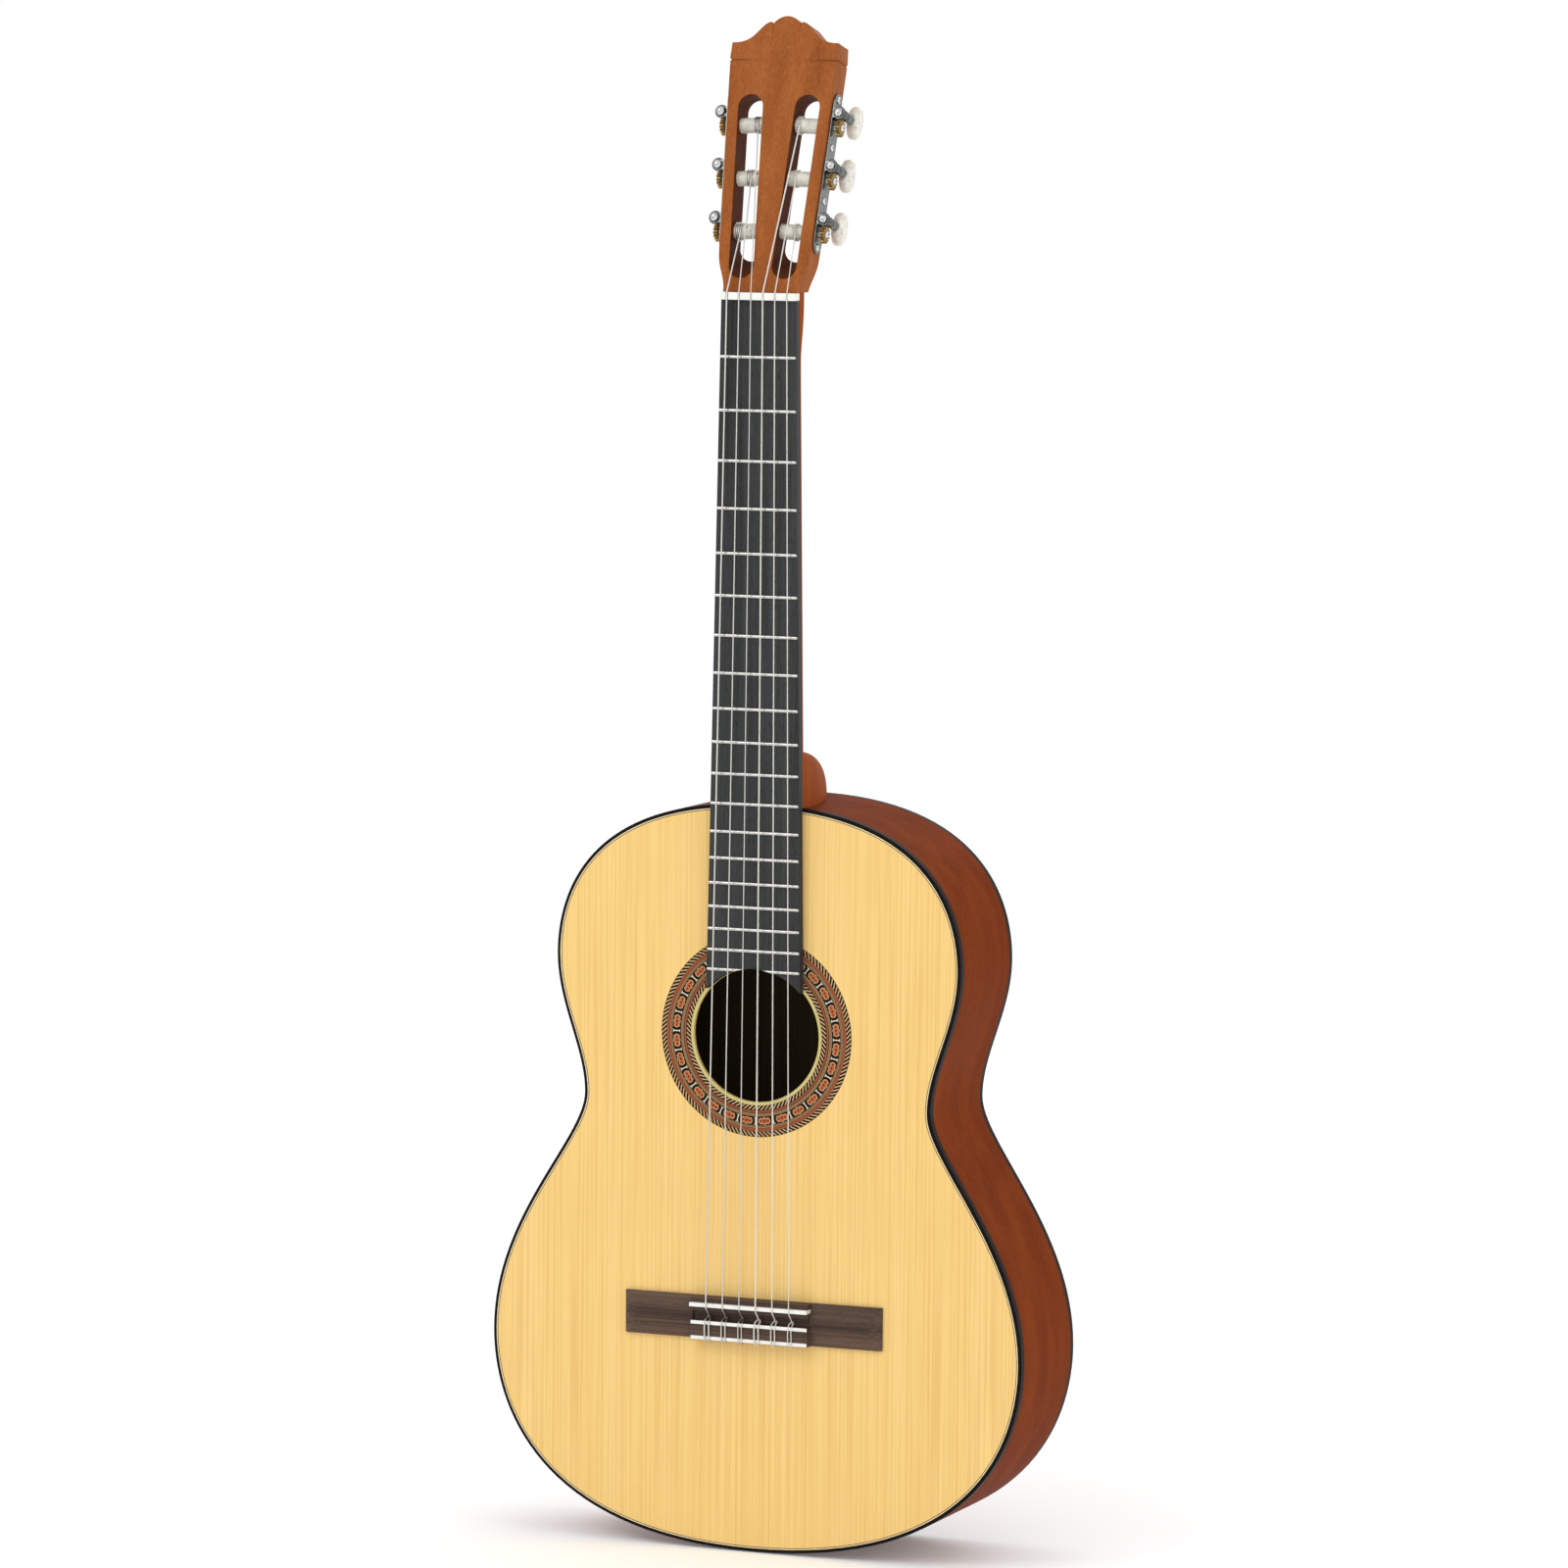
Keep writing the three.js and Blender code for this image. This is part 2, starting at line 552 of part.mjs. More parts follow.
// The button is an oval ear, narrow at its shaft and round at its far end.
function button() {
  const { tall, long, thick, from } = BUTTON;
  const shape = new THREE.Shape();
  shape.moveTo(4.5, 0);
  shape.bezierCurveTo(6, 3.5, tall / 2, 3, tall / 2, 8.5);
  shape.bezierCurveTo(tall / 2, long - 2, 6, long, 0, long);
  shape.bezierCurveTo(-6, long, -tall / 2, long - 2, -tall / 2, 8.5);
  shape.bezierCurveTo(-tall / 2, 3, -6, 3.5, -4.5, 0);
  const bevel = 1.6;
  const options = { depth: thick - 2 * bevel, bevelThickness: bevel, bevelSize: bevel, bevelOffset: -bevel };
  const made = new THREE.ExtrudeGeometry(shape, { ...options, bevelSegments: 2, curveSegments: 4 });
  made.translate(0, 0, bevel - thick / 2).rotateY(-Math.PI / 2);
  return common(made, box(40, 40, 60, 0, 20, 0)).translate(WORM_OUT, from, WORM_ABOVE);
}

function tuners() {
  const stringsFromNut = { treble: [1, 2, 3], bass: [6, 5, 4] };
  for (const [name, side] of [["treble", 1], ["bass", -1]]) {
    const frame = tunerFrame(side);
    place(`${name}_tuner_plate`, sided(side, tunerPlate()), nickel, frame);
    stringsFromNut[name].forEach((n, i) => {
      const up = ROLLER.heights[i];
      place(`roller_${n}`, sided(side, roller()), whitePlastic, frame).position.set(0, ROLLER.depth, up);
      place(`gear_${n}`, sided(side, gear()), brass, frame).position.set(0, ROLLER.depth, up);
      place(`worm_${n}`, worm(side), nickel, frame).position.z = up;
      place(`button_${n}`, sided(side, button()), pearl, frame).position.z = up;
    });
  }
}

// ---- Strings ----
// A string is a tube of round sections, mitred where it turns. It turns about the x axis only.
function tube(points, r) {
  const sideways = new THREE.Vector3(1, 0, 0);
  const rings = points.map((p, i) => {
    const before = p.clone().sub(points[Math.max(i - 1, 0)]).normalize();
    const after = points[Math.min(i + 1, points.length - 1)].clone().sub(p).normalize();
    const along = before.clone().add(after).normalize();
    const mitre = r / Math.max(along.dot(before), along.dot(after));
    const up = new THREE.Vector3().crossVectors(along, sideways).normalize();
    return Array.from({ length: 8 }, (_, k) => {
      const angle = (Math.PI * k) / 4;
      const out = up.clone().multiplyScalar(mitre * Math.sin(angle));
      return p.clone().addScaledVector(sideways, r * Math.cos(angle)).add(out);
    });
  });
  return loft(rings);
}

// From the front of its roller over nut and saddle, through the tie block and back over it.
function strings() {
  head.updateMatrixWorld(true);
  STRING_DIAMETERS.forEach((d, i) => {
    const clear = d / 2 + GLUE;
    const n = 6 - i;
    const side = n <= 3 ? 1 : -1;
    const rung = n <= 3 ? n - 1 : 6 - n;
    const x = side * STRING_AT_ROLLER[rung];
    const inFront = ROLLER.depth - ROLLER.r - clear - 0.2;
    const onRoller = new THREE.Vector3(x, inFront, EDGE_LOW.y + ROLLER.heights[rung]);
    const nutX = stringX(i, STRING_SPREAD.nut);
    const saddleX = stringX(i, STRING_SPREAD.saddle);
    const nutY = -(NUT.high - NUT.notch) - clear;
    const at = (y, fromNut) => new THREE.Vector3(saddleX, y, NUT_Z - fromNut);
    const over = -BRIDGE.block - clear;
    place(`string_${n}`, tube([
      head.localToWorld(onRoller),
      new THREE.Vector3(nutX, nutY, NUT_Z + NUT.long),
      new THREE.Vector3(nutX, nutY, NUT_Z),
      at(-SADDLE.top - clear, SADDLE.fromNut - 1),
      at(-SADDLE.top - clear, SADDLE.fromNut + SADDLE.thick / 2),
      at(-TIE.hole, TIE.front - 1),
      at(-TIE.hole, BRIDGE.back + 0.6),
      at(-TIE.hole - 1, BRIDGE.back + 1.2),
      at(over + 0.6, BRIDGE.back + 1.2),
      at(over, BRIDGE.back + 0.4),
      at(over, TIE.front + 0.5),
    ], d / 2), n <= 3 ? nylon : bassString);
  });
}

// ---- Assembly ----
soundboard();
rosette();
back();
sides();
bindings();
linings();
endBlock("neck_block", 45, BODY_LENGTH - 24, BODY_LENGTH);
endBlock("tail_block", 50, 0, 22);
topBraces();
backBraces();
neck();
fingerboard();
nut();
bridge();
saddle();
headstock();
tuners();
strings();

// The origin lies under the middle of the guitar's box.
guitar.updateMatrixWorld(true);
const bounds = new THREE.Box3().setFromObject(guitar, true);
guitar.position.y = -(bounds.min.y + bounds.max.y) / 2;

export default guitar;
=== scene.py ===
# %% [markdown]
# # A classical guitar
# This lesson dresses a working model of a classical guitar for a close look. The frame that is
# loaded first holds every part at its true size. The cells below remake the parts whose curves or
# small details need more than the frame gives, and finish all of them with woods, metals and
# plastics made from nodes.

# %% Load the frame
import math

import bpy
from mathutils import Matrix, Vector


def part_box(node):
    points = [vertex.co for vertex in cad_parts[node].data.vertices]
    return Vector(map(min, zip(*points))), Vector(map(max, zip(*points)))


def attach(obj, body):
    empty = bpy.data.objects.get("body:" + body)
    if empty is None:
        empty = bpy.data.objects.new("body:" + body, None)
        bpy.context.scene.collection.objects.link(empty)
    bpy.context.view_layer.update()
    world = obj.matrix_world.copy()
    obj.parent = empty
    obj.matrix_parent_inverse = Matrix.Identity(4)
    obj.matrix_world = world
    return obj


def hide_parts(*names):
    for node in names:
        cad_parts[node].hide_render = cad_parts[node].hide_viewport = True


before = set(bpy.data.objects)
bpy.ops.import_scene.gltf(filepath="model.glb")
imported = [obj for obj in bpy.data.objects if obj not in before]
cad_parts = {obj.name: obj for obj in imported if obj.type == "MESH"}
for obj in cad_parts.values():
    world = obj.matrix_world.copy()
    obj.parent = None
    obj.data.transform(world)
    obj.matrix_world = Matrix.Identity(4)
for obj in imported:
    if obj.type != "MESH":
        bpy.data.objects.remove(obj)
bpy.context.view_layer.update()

# %% [markdown]
# ## Driving sizes
# A luthier works from a few numbers: the scale length, the width of the bouts and the waist, the
# slope of the back and the lean of the head. The front of the soundboard is the plane that every
# depth is measured from, so it is read from the frame. All lengths are written in millimetres and
# turned into metres by one factor.

# %% Sizes
mm = 0.001
BODY = "guitar"  # the body that everything except the tuners rides on
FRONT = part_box("soundboard")[0].y  # the plane of the soundboard's face
BODY_LENGTH = 490
NUT_Z = 815
SCALE_LENGTH = 650
DEPTH_AT_NECK, DEPTH_AT_TAIL = 94, 100
SOUNDHOLE_Z = 339.4
HEAD_TILT = math.radians(14)
HEAD_THICK = 18
STRINGS = {6: 1.09, 5: 0.89, 4: 0.74, 3: 1.02, 2: 0.82, 1: 0.71}  # diameters, bass to treble


def at(x, y, z):
    """A place in millimetres: across, behind the soundboard's face, and up from the tail."""
    return Vector((x * mm, FRONT + y * mm, z * mm))


def flat(x, y, z):
    return Vector((x, y, z)) * mm


head_frame = Matrix.Translation(at(0, -4, NUT_Z + 5)) @ Matrix.Rotation(-HEAD_TILT, 4, "X")
print("soundboard face at y =", round(FRONT, 4))

# %% [markdown]
# ## Camera
# A long lens from a little above and to the treble side shows the soundboard nearly square on,
# with one rib of the body in view. The camera is placed by its position and by three turns:
# azimuth round the guitar, elevation above the horizon, and a slight roll.

# %% Camera
AZIMUTH, ELEVATION, ROLL = map(math.radians, (22.14, 5.58, 0.48))
right = Vector((math.cos(AZIMUTH), math.sin(AZIMUTH), 0))
towards = Vector((math.sin(AZIMUTH), -math.cos(AZIMUTH), 0)) * math.cos(ELEVATION)
towards.z = math.sin(ELEVATION)
upright = towards.cross(right)
axes = Matrix((right, upright, towards)).transposed().to_4x4()
bpy.ops.object.camera_add()
camera = bpy.context.object
camera.name = "camera"
camera.matrix_world = Matrix.Translation(at(1855, -4515, 980)) @ axes @ Matrix.Rotation(ROLL, 4, "Z")
camera.data.lens = 174.4
camera.data.sensor_width = 36
camera.data.clip_end = 100
bpy.context.scene.camera = camera
print("camera", tuple(round(v, 3) for v in camera.matrix_world.translation))

# %% [markdown]
# ## Floor and light
# The guitar stands on a large pale floor. Three large soft lights and a bright, even surround give
# the flat light of a studio table, with a long highlight on the varnish.

# %% Floor and light
bpy.ops.object.select_all(action="DESELECT")
bpy.ops.mesh.primitive_plane_add(size=60, location=(0, 0, -0.0005))
floor = bpy.context.object
floor.name = "floor"
floor_paint = bpy.data.materials.new("pale_floor")
floor_paint.use_nodes = True
floor_shader = floor_paint.node_tree.nodes["Principled BSDF"]
floor_shader.inputs["Base Color"].default_value = (0.93, 0.93, 0.93, 1)
floor_shader.inputs["Roughness"].default_value = 0.9
floor_shader.inputs["Emission Color"].default_value = (1, 1, 1, 1)
floor_shader.inputs["Emission Strength"].default_value = 0.1
floor.data.materials.append(floor_paint)


def soft_light(name, place, size, power):
    bpy.ops.object.light_add(type="AREA", location=place)
    light = bpy.context.object
    light.name = name
    light.data.shape = "RECTANGLE"
    light.data.size, light.data.size_y = size
    light.data.energy = power
    aim = Vector((0, 0, 0.5)) - light.location
    light.rotation_euler = aim.to_track_quat("-Z", "Y").to_euler()


soft_light("key", (-1.6, -2.6, 2.8), (1.2, 1.2), 22)
soft_light("fill", (3.0, -1.2, 1.8), (0.6, 2.0), 6)
soft_light("rim", (0.8, 2.6, 2.4), (2.0, 1.0), 10)
world = bpy.data.worlds.new("studio")
world.use_nodes = True
world.node_tree.nodes["Background"].inputs["Color"].default_value = (1, 1, 1, 1)
world.node_tree.nodes["Background"].inputs["Strength"].default_value = 1.0
bpy.context.scene.world = world
bpy.context.scene.view_settings.view_transform = "Standard"

# %% [markdown]
# ## Materials from nodes
# Every finish is a Principled shader fed by procedural textures on the Object coordinates, which
# stay with the piece. Three small helpers keep the node trees short: one makes a material with its
# constant values, one adds a node and links what is given to it, and one does sums.

# %% Node helpers
def finish(name, roughness=0.5, **values):
    material = bpy.data.materials.new(name)
    material.use_nodes = True
    shader = material.node_tree.nodes["Principled BSDF"]
    shader.inputs["Roughness"].default_value = roughness
    shader.inputs["Specular IOR Level"].default_value = 0.28
    for socket, value in values.items():
        shader.inputs[socket.replace("_", " ")].default_value = value
    return material


def node(material, kind, inputs=None, **settings):
    made = material.node_tree.nodes.new("ShaderNode" + kind)
    for setting, value in settings.items():
        setattr(made, setting, value)
    for socket, value in (inputs or {}).items():
        if isinstance(value, bpy.types.NodeSocket):
            material.node_tree.links.new(value, made.inputs[socket])
        else:
            made.inputs[socket].default_value = value
    return made


def sum_of(material, operation, first, second=0.0):
    return node(material, "Math", {0: first, 1: second}, operation=operation).outputs[0]


def places(material, scale=(1, 1, 1), location=(0, 0, 0)):
    """Object coordinates, moved and then scaled: a larger scale makes a finer pattern."""
    coordinates = node(material, "TexCoord").outputs["Object"]
    inputs = {"Vector": coordinates, "Location": location, "Scale": scale}
    return node(material, "Mapping", inputs).outputs["Vector"]


def wire(material, socket, value):
    shader = material.node_tree.nodes["Principled BSDF"]
    material.node_tree.links.new(value, shader.inputs[socket])


def ramp(material, factor, stops, interpolation="LINEAR"):
    made = node(material, "ValToRGB", {"Fac": factor})
    made.color_ramp.interpolation = interpolation
    elements = made.color_ramp.elements
    while len(elements) < len(stops):
        elements.new(1.0)
    for element, (place, colour) in zip(elements, stops):
        element.position = place
        element.color = (*colour, 1)
    return made.outputs["Color"]


def mixed(material, factor, first, second, blend="MIX"):
    made = node(material, "Mix", data_type="RGBA", blend_type=blend)
    for socket, value in ((0, factor), (6, first), (7, second)):
        if isinstance(value, bpy.types.NodeSocket):
            material.node_tree.links.new(value, made.inputs[socket])
        else:
            made.inputs[socket].default_value = value if socket == 0 else (*value, 1)
    return made.outputs[2]


def bumped(material, height, strength, distance=0.0002):
    inputs = {"Height": height, "Strength": strength, "Distance": distance}
    wire(material, "Normal", node(material, "Bump", inputs).outputs["Normal"])


print("node helpers ready")

# %% [markdown]
# ## Grain
# Wood grain is a noise stretched along the grain, seen at three scales: broad bands where the tree
# grew faster, fine lines a millimetre or less apart, and short dark pores in the open-grained
# woods. One function makes them all, given the direction of the grain and two colours.

# %% Wood
def streaks(material, along, width, length, detail=2.0, offset=0.0):
    """A noise drawn out along one axis. Width and length are in millimetres."""
    scale = [1 / (width * mm)] * 3
    scale["XYZ".index(along)] = 1 / (length * mm)
    vector = places(material, scale, (offset, offset, offset))
    return node(material, "TexNoise", {"Vector": vector, "Scale": 1.0, "Detail": detail}).outputs["Fac"]


def wood(name, pale, dark, along="Z", line=0.9, contrast=0.5, pores=0.0, roughness=0.42, gloss=0.12):
    material = finish(name, roughness, Specular_IOR_Level=gloss)
    fine = streaks(material, along, line, line * 130)
    broad = streaks(material, along, line * 14, line * 500, 3.0, 7.0)
    blend = sum_of(material, "ADD", sum_of(material, "MULTIPLY", broad, 1 - contrast),
                   sum_of(material, "MULTIPLY", fine, contrast))
    colour = ramp(material, blend, ((0.33, dark), (0.66, pale)))
    if pores:
        spots = streaks(material, along, 0.35, 7.0, 1.0, 3.0)
        holes = ramp(material, spots, ((0.30, (1, 1, 1)), (0.37, (0, 0, 0))))
        colour = mixed(material, sum_of(material, "MULTIPLY", holes, pores), colour,
                       tuple(v * 0.35 for v in dark))
    wire(material, "Base Color", colour)
    bumped(material, fine, 0.12, 0.00012)
    return material


varnished_sides = wood("varnished_sides", (0.215, 0.040, 0.0055), (0.145, 0.024, 0.0032), "Z", 1.4, 0.4, 0.35, 0.5, 0.01)
varnished_back = wood("varnished_back", (0.215, 0.042, 0.0060), (0.130, 0.022, 0.0030), "Z", 1.6, 0.4, 0.35, 0.5, 0.02)
neck_wood = wood("neck_wood", (0.330, 0.074, 0.011), (0.225, 0.044, 0.0060), "Z", 0.8, 0.5, 0.4, 0.5, 0.015)
head_wood = wood("head_wood", (0.370, 0.115, 0.028), (0.235, 0.060, 0.012), "Z", 0.7, 0.5, 0.35, 0.45, 0.05)
# Painted shade: the walls of the slots are made far darker than the head's face, for the shade inside the slots.
slot_wood_painted_shade = wood("slot_wood_painted_shade", (0.110, 0.026, 0.006), (0.060, 0.013, 0.003), "X", 0.5, 0.5, 0.0, 0.6, 0.05)
brace_wood = wood("brace_wood", (0.30, 0.20, 0.10), (0.19, 0.12, 0.06), "Z", 1.2, 0.5, 0, 0.8, 0.1)
across_wood = wood("across_wood", (0.30, 0.20, 0.10), (0.19, 0.12, 0.06), "X", 1.2, 0.5, 0, 0.8, 0.1)
board_wood = wood("board_wood", (0.052, 0.054, 0.055), (0.020, 0.020, 0.021), "Z", 0.8, 0.5, 0.8, 0.5, 0.12)
bridge_wood = wood("bridge_wood", (0.140, 0.088, 0.060), (0.036, 0.020, 0.015), "X", 1.5, 0.35, 0.6, 0.45, 0.15)
lip_wood = wood("lip_wood", (0.62, 0.53, 0.22), (0.52, 0.43, 0.16), "Z", 0.9, 0.5, 0, 0.4, 0.1)
# Painted shade: the inner face of the back, seen through the sound hole, is made dark for the shade inside the body.
inside_wood_painted_shade = wood("inside_wood_painted_shade", (0.060, 0.042, 0.024), (0.034, 0.022, 0.013), "Z", 1.6, 0.4, 0, 0.8, 0.0)
print("woods:", [m.name for m in bpy.data.materials if "wood" in m.name or "varnished" in m.name])

# %% [markdown]
# ### Spruce
# A soundboard is two halves of one split board, opened like a book, so its grain is a mirror image
# about the centre seam. The absolute value of the X coordinate gives that for nothing. Growth
# lines are straight and about a millimetre apart, closer at the seam than at the edges.

# %% Spruce
def spruce_top():
    material = finish("spruce_top", 0.34, Coat_Weight=0.08, Coat_Roughness=0.15)
    split = node(material, "SeparateXYZ", {0: places(material, (1000, 1000, 1000))})
    leaf = sum_of(material, "ABSOLUTE", split.outputs[0])
    spread = sum_of(material, "POWER", leaf, 0.9)
    slow = sum_of(material, "MULTIPLY", split.outputs[2], 0.004)
    fast = sum_of(material, "MULTIPLY", split.outputs[2], 0.02)
    lines = node(material, "CombineXYZ", {0: spread, 2: slow}).outputs[0]
    fine = node(material, "TexNoise", {"Vector": lines, "Scale": 1.15, "Detail": 2.5}).outputs["Fac"]
    bands = node(material, "TexNoise", {"Vector": lines, "Scale": 0.09, "Detail": 3.0}).outputs["Fac"]
    silk = node(material, "CombineXYZ", {0: sum_of(material, "MULTIPLY", leaf, 0.05), 2: fast}).outputs[0]
    glow = node(material, "TexNoise", {"Vector": silk, "Scale": 1.0, "Detail": 2.0}).outputs["Fac"]
    colour = ramp(material, fine, ((0.34, (0.770, 0.495, 0.165)), (0.56, (0.845, 0.590, 0.215))))
    warm = ramp(material, bands, ((0.35, (0.97, 0.94, 0.88)), (0.65, (1.0, 1.0, 1.0))))
    colour = mixed(material, 1.0, colour, warm, "MULTIPLY")
    light = ramp(material, glow, ((0.3, (0.975, 0.965, 0.94)), (0.7, (1.0, 1.0, 1.0))))
    wire(material, "Base Color", mixed(material, 1.0, colour, light, "MULTIPLY"))
    bumped(material, fine, 0.06, 0.0001)
    return material


spruce = spruce_top()
print("soundboard finish:", spruce.name)

# %% [markdown]
# ### Rosette
# The ring round the sound hole is a mosaic of dyed veneers. Polar coordinates draw it: the radius
# picks the band, and the angle repeats what is inside it, the slanted strands of the two ropes and
# the row of blossoms between white bars. A colour ramp with constant steps holds the plain lines.

# %% Rosette
BLOSSOMS = 28
RING_INNER, RING_OUTER = 45.8, 66.4


def rosette_mosaic():
    material = finish("rosette_mosaic", 0.4, Specular_IOR_Level=0.05)
    vector = places(material, (1000, 1000, 1000), (0, 0, -SOUNDHOLE_Z))
    split = node(material, "SeparateXYZ", {0: vector})
    x, z = split.outputs[0], split.outputs[2]
    flat = node(material, "CombineXYZ", {0: x, 1: z}).outputs[0]
    radius = node(material, "VectorMath", {0: flat}, operation="LENGTH").outputs["Value"]
    turns = sum_of(material, "DIVIDE", sum_of(material, "ARCTAN2", z, x), 2 * math.pi)
    turns = sum_of(material, "ADD", turns, 0.5)

    def band(low, high):
        above = sum_of(material, "GREATER_THAN", radius, low)
        return sum_of(material, "MULTIPLY", above, sum_of(material, "LESS_THAN", radius, high))

    def step(radius_mm):
        return (radius_mm - RING_INNER) / (RING_OUTER - RING_INNER)

    black, red = (0.010, 0.006, 0.004), (0.430, 0.110, 0.045)
    maroon, tan = (0.120, 0.042, 0.022), (0.330, 0.200, 0.095)
    olive, brown = (0.110, 0.078, 0.036), (0.190, 0.085, 0.042)
    lines = ((45.8, black), (49.0, maroon), (49.6, red), (50.1, maroon), (50.7, olive), (51.2, tan),
             (51.7, brown), (52.2, tan), (52.7, olive), (53.1, black), (58.9, tan), (59.3, olive),
             (59.8, tan), (60.3, maroon), (60.9, red), (61.4, maroon), (61.9, red), (62.3, brown),
             (62.8, black))
    place = sum_of(material, "DIVIDE", sum_of(material, "SUBTRACT", radius, RING_INNER),
                   RING_OUTER - RING_INNER)
    colour = ramp(material, place, [(step(r), c) for r, c in lines], "CONSTANT")

    # The ropes: slanted strands, the two ropes twisted opposite ways.
    for low, high, strands, slant in ((46.0, 48.8, 104, 0.36), (63.0, 66.1, 142, -0.36)):
        strand = sum_of(material, "ADD", sum_of(material, "MULTIPLY", turns, strands),
                        sum_of(material, "MULTIPLY", radius, slant))
        light = sum_of(material, "GREATER_THAN", sum_of(material, "FRACT", strand), 0.62)
        light = sum_of(material, "MULTIPLY", light, band(low, high))
        colour = mixed(material, light, colour, (0.56, 0.37, 0.19))

    # The blossoms: rings inside rings, measured from the middle of each repeat.
    repeat = sum_of(material, "FRACT", sum_of(material, "MULTIPLY", turns, BLOSSOMS))
    u = sum_of(material, "MULTIPLY", sum_of(material, "SUBTRACT", repeat, 0.5), 12.4)
    v = sum_of(material, "SUBTRACT", radius, 56.0)
    wave = sum_of(material, "MULTIPLY", sum_of(material, "COSINE", sum_of(material, "MULTIPLY", u, 2.1)), 0.28)
    bloom = node(material, "CombineXYZ", {0: sum_of(material, "MULTIPLY", u, 0.50), 1: v}).outputs[0]
    size = node(material, "VectorMath", {0: bloom}, operation="LENGTH").outputs["Value"]
    size = sum_of(material, "SUBTRACT", size, wave)
    petals = ((0.0, black), (0.30, (0.42, 0.09, 0.03)), (0.70, (0.55, 0.22, 0.08)), (1.00, maroon),
              (1.25, (0.52, 0.12, 0.05)), (1.95, (0.55, 0.42, 0.20)), (2.25, black))
    petal_colour = ramp(material, sum_of(material, "DIVIDE", size, 2.5),
                        [(r / 2.5, c) for r, c in petals], "CONSTANT")
    inside = sum_of(material, "MULTIPLY", sum_of(material, "LESS_THAN", size, 2.25), band(53.3, 58.7))
    colour = mixed(material, inside, colour, petal_colour)
    bars = sum_of(material, "GREATER_THAN", sum_of(material, "ABSOLUTE", u), 5.86)
    bars = sum_of(material, "MULTIPLY", bars, band(53.8, 58.2))
    caps = sum_of(material, "GREATER_THAN", sum_of(material, "ABSOLUTE", u), 5.2)
    ends = sum_of(material, "ADD", band(53.6, 54.0), band(58.0, 58.4))
    bars = sum_of(material, "MAXIMUM", bars, sum_of(material, "MULTIPLY", caps, ends))
    colour = mixed(material, bars, colour, (0.72, 0.66, 0.52))
    wire(material, "Base Color", colour)
    return material


mosaic = rosette_mosaic()
print("rosette:", BLOSSOMS, "blossoms between two ropes")

# %% [markdown]
# ### Metals and plastics
# The tuners are nickel-plated steel with brass gears. Plating picks up fine scratches and a slight
# mottling, which belong in the roughness. The same noise also darkens the colour in places, which is
# partly mottling and partly painted reflection, and the nickel of the plates, worms, collars and
# bearings has a dark base colour that paints in the reflection of dark surroundings. The nut, saddle
# and rollers are white plastic, warm and slightly clouded. The buttons are pearloid, a plastic with
# swirled flakes. A wound string has a silver-plated wire round its core, so its bump is a wave along
# the string, and its colour is darker in the grooves between the wraps, which is painted shade.

# %% Metals, plastics and strings
def metal(name, colour, low, high, grain=900):
    material = finish(name, low, Metallic=1.0)
    noise = node(material, "TexNoise", {"Vector": places(material), "Scale": grain, "Detail": 4.0}).outputs["Fac"]
    rough = node(material, "MapRange", {"Value": noise, "To Min": low, "To Max": high}).outputs[0]
    # The noise moves the colour between this darker tone and the base colour: partly mottling of the plating, partly
    # painted reflection.
    mottle_and_painted_reflection = tuple(v * 0.72 for v in colour)
    wire(material, "Base Color", ramp(material, noise, ((0.35, mottle_and_painted_reflection), (0.6, colour))))
    wire(material, "Roughness", rough)
    bumped(material, noise, 0.05, 0.0001)
    return material


def clouded(name, pale, shade, roughness, size=60, bump=0.03, **values):
    material = finish(name, roughness, **values)
    noise = node(material, "TexNoise", {"Vector": places(material), "Scale": size, "Detail": 5.0,
                                        "Distortion": 1.2}).outputs["Fac"]
    wire(material, "Base Color", ramp(material, noise, ((0.35, shade), (0.62, pale))))
    bumped(material, noise, bump, 0.0001)
    return material


def wound_wire():
    material = finish("wound_wire", 0.3, Metallic=1.0)
    wraps = node(material, "TexWave", {"Vector": places(material), "Scale": 1100.0}, bands_direction="Z")
    # The colour is darker where the wave is low, in the grooves between the wraps: painted shade.
    wire(material, "Base Color", ramp(material, wraps.outputs["Fac"], ((0.0, (0.42, 0.40, 0.36)), (0.6, (0.80, 0.78, 0.74)))))
    bumped(material, wraps.outputs["Fac"], 0.3, 0.0001)
    return material


# The plate nickel and the darker nickel have base colours far below real nickel: painted reflection of dark
# surroundings.
nickel = metal("nickel_plate_painted_reflection", (0.200, 0.210, 0.200), 0.16, 0.36)
bright_nickel = metal("bright_nickel", (0.70, 0.70, 0.68), 0.1, 0.22)
dark_nickel = metal("dark_nickel", (0.085, 0.092, 0.088), 0.18, 0.36)
steel = metal("fret_wire", (0.62, 0.61, 0.59), 0.24, 0.36)
brass = metal("gear_brass", (0.300, 0.175, 0.050), 0.2, 0.42)
white_plastic = clouded("white_plastic", (0.84, 0.83, 0.80), (0.76, 0.75, 0.71), 0.32, 90)
roller_plastic = clouded("roller_plastic", (0.72, 0.69, 0.61), (0.56, 0.53, 0.45), 0.38, 140)
pearloid = clouded("pearloid", (0.80, 0.77, 0.70), (0.60, 0.56, 0.47), 0.2, 170, 0.02, Coat_Weight=0.4)
binding_black = clouded("binding_black", (0.012, 0.009, 0.008), (0.006, 0.005, 0.004), 0.4, 200,
                        Specular_IOR_Level=0.03)
purfling_cream = clouded("purfling_cream", (0.80, 0.66, 0.40), (0.70, 0.56, 0.32), 0.35, 200)
nylon = clouded("nylon", (0.90, 0.87, 0.80), (0.80, 0.77, 0.70), 0.22, 40, 0.0, Transmission_Weight=0.3)
wound = wound_wire()
print("finishes made:", len(bpy.data.materials))

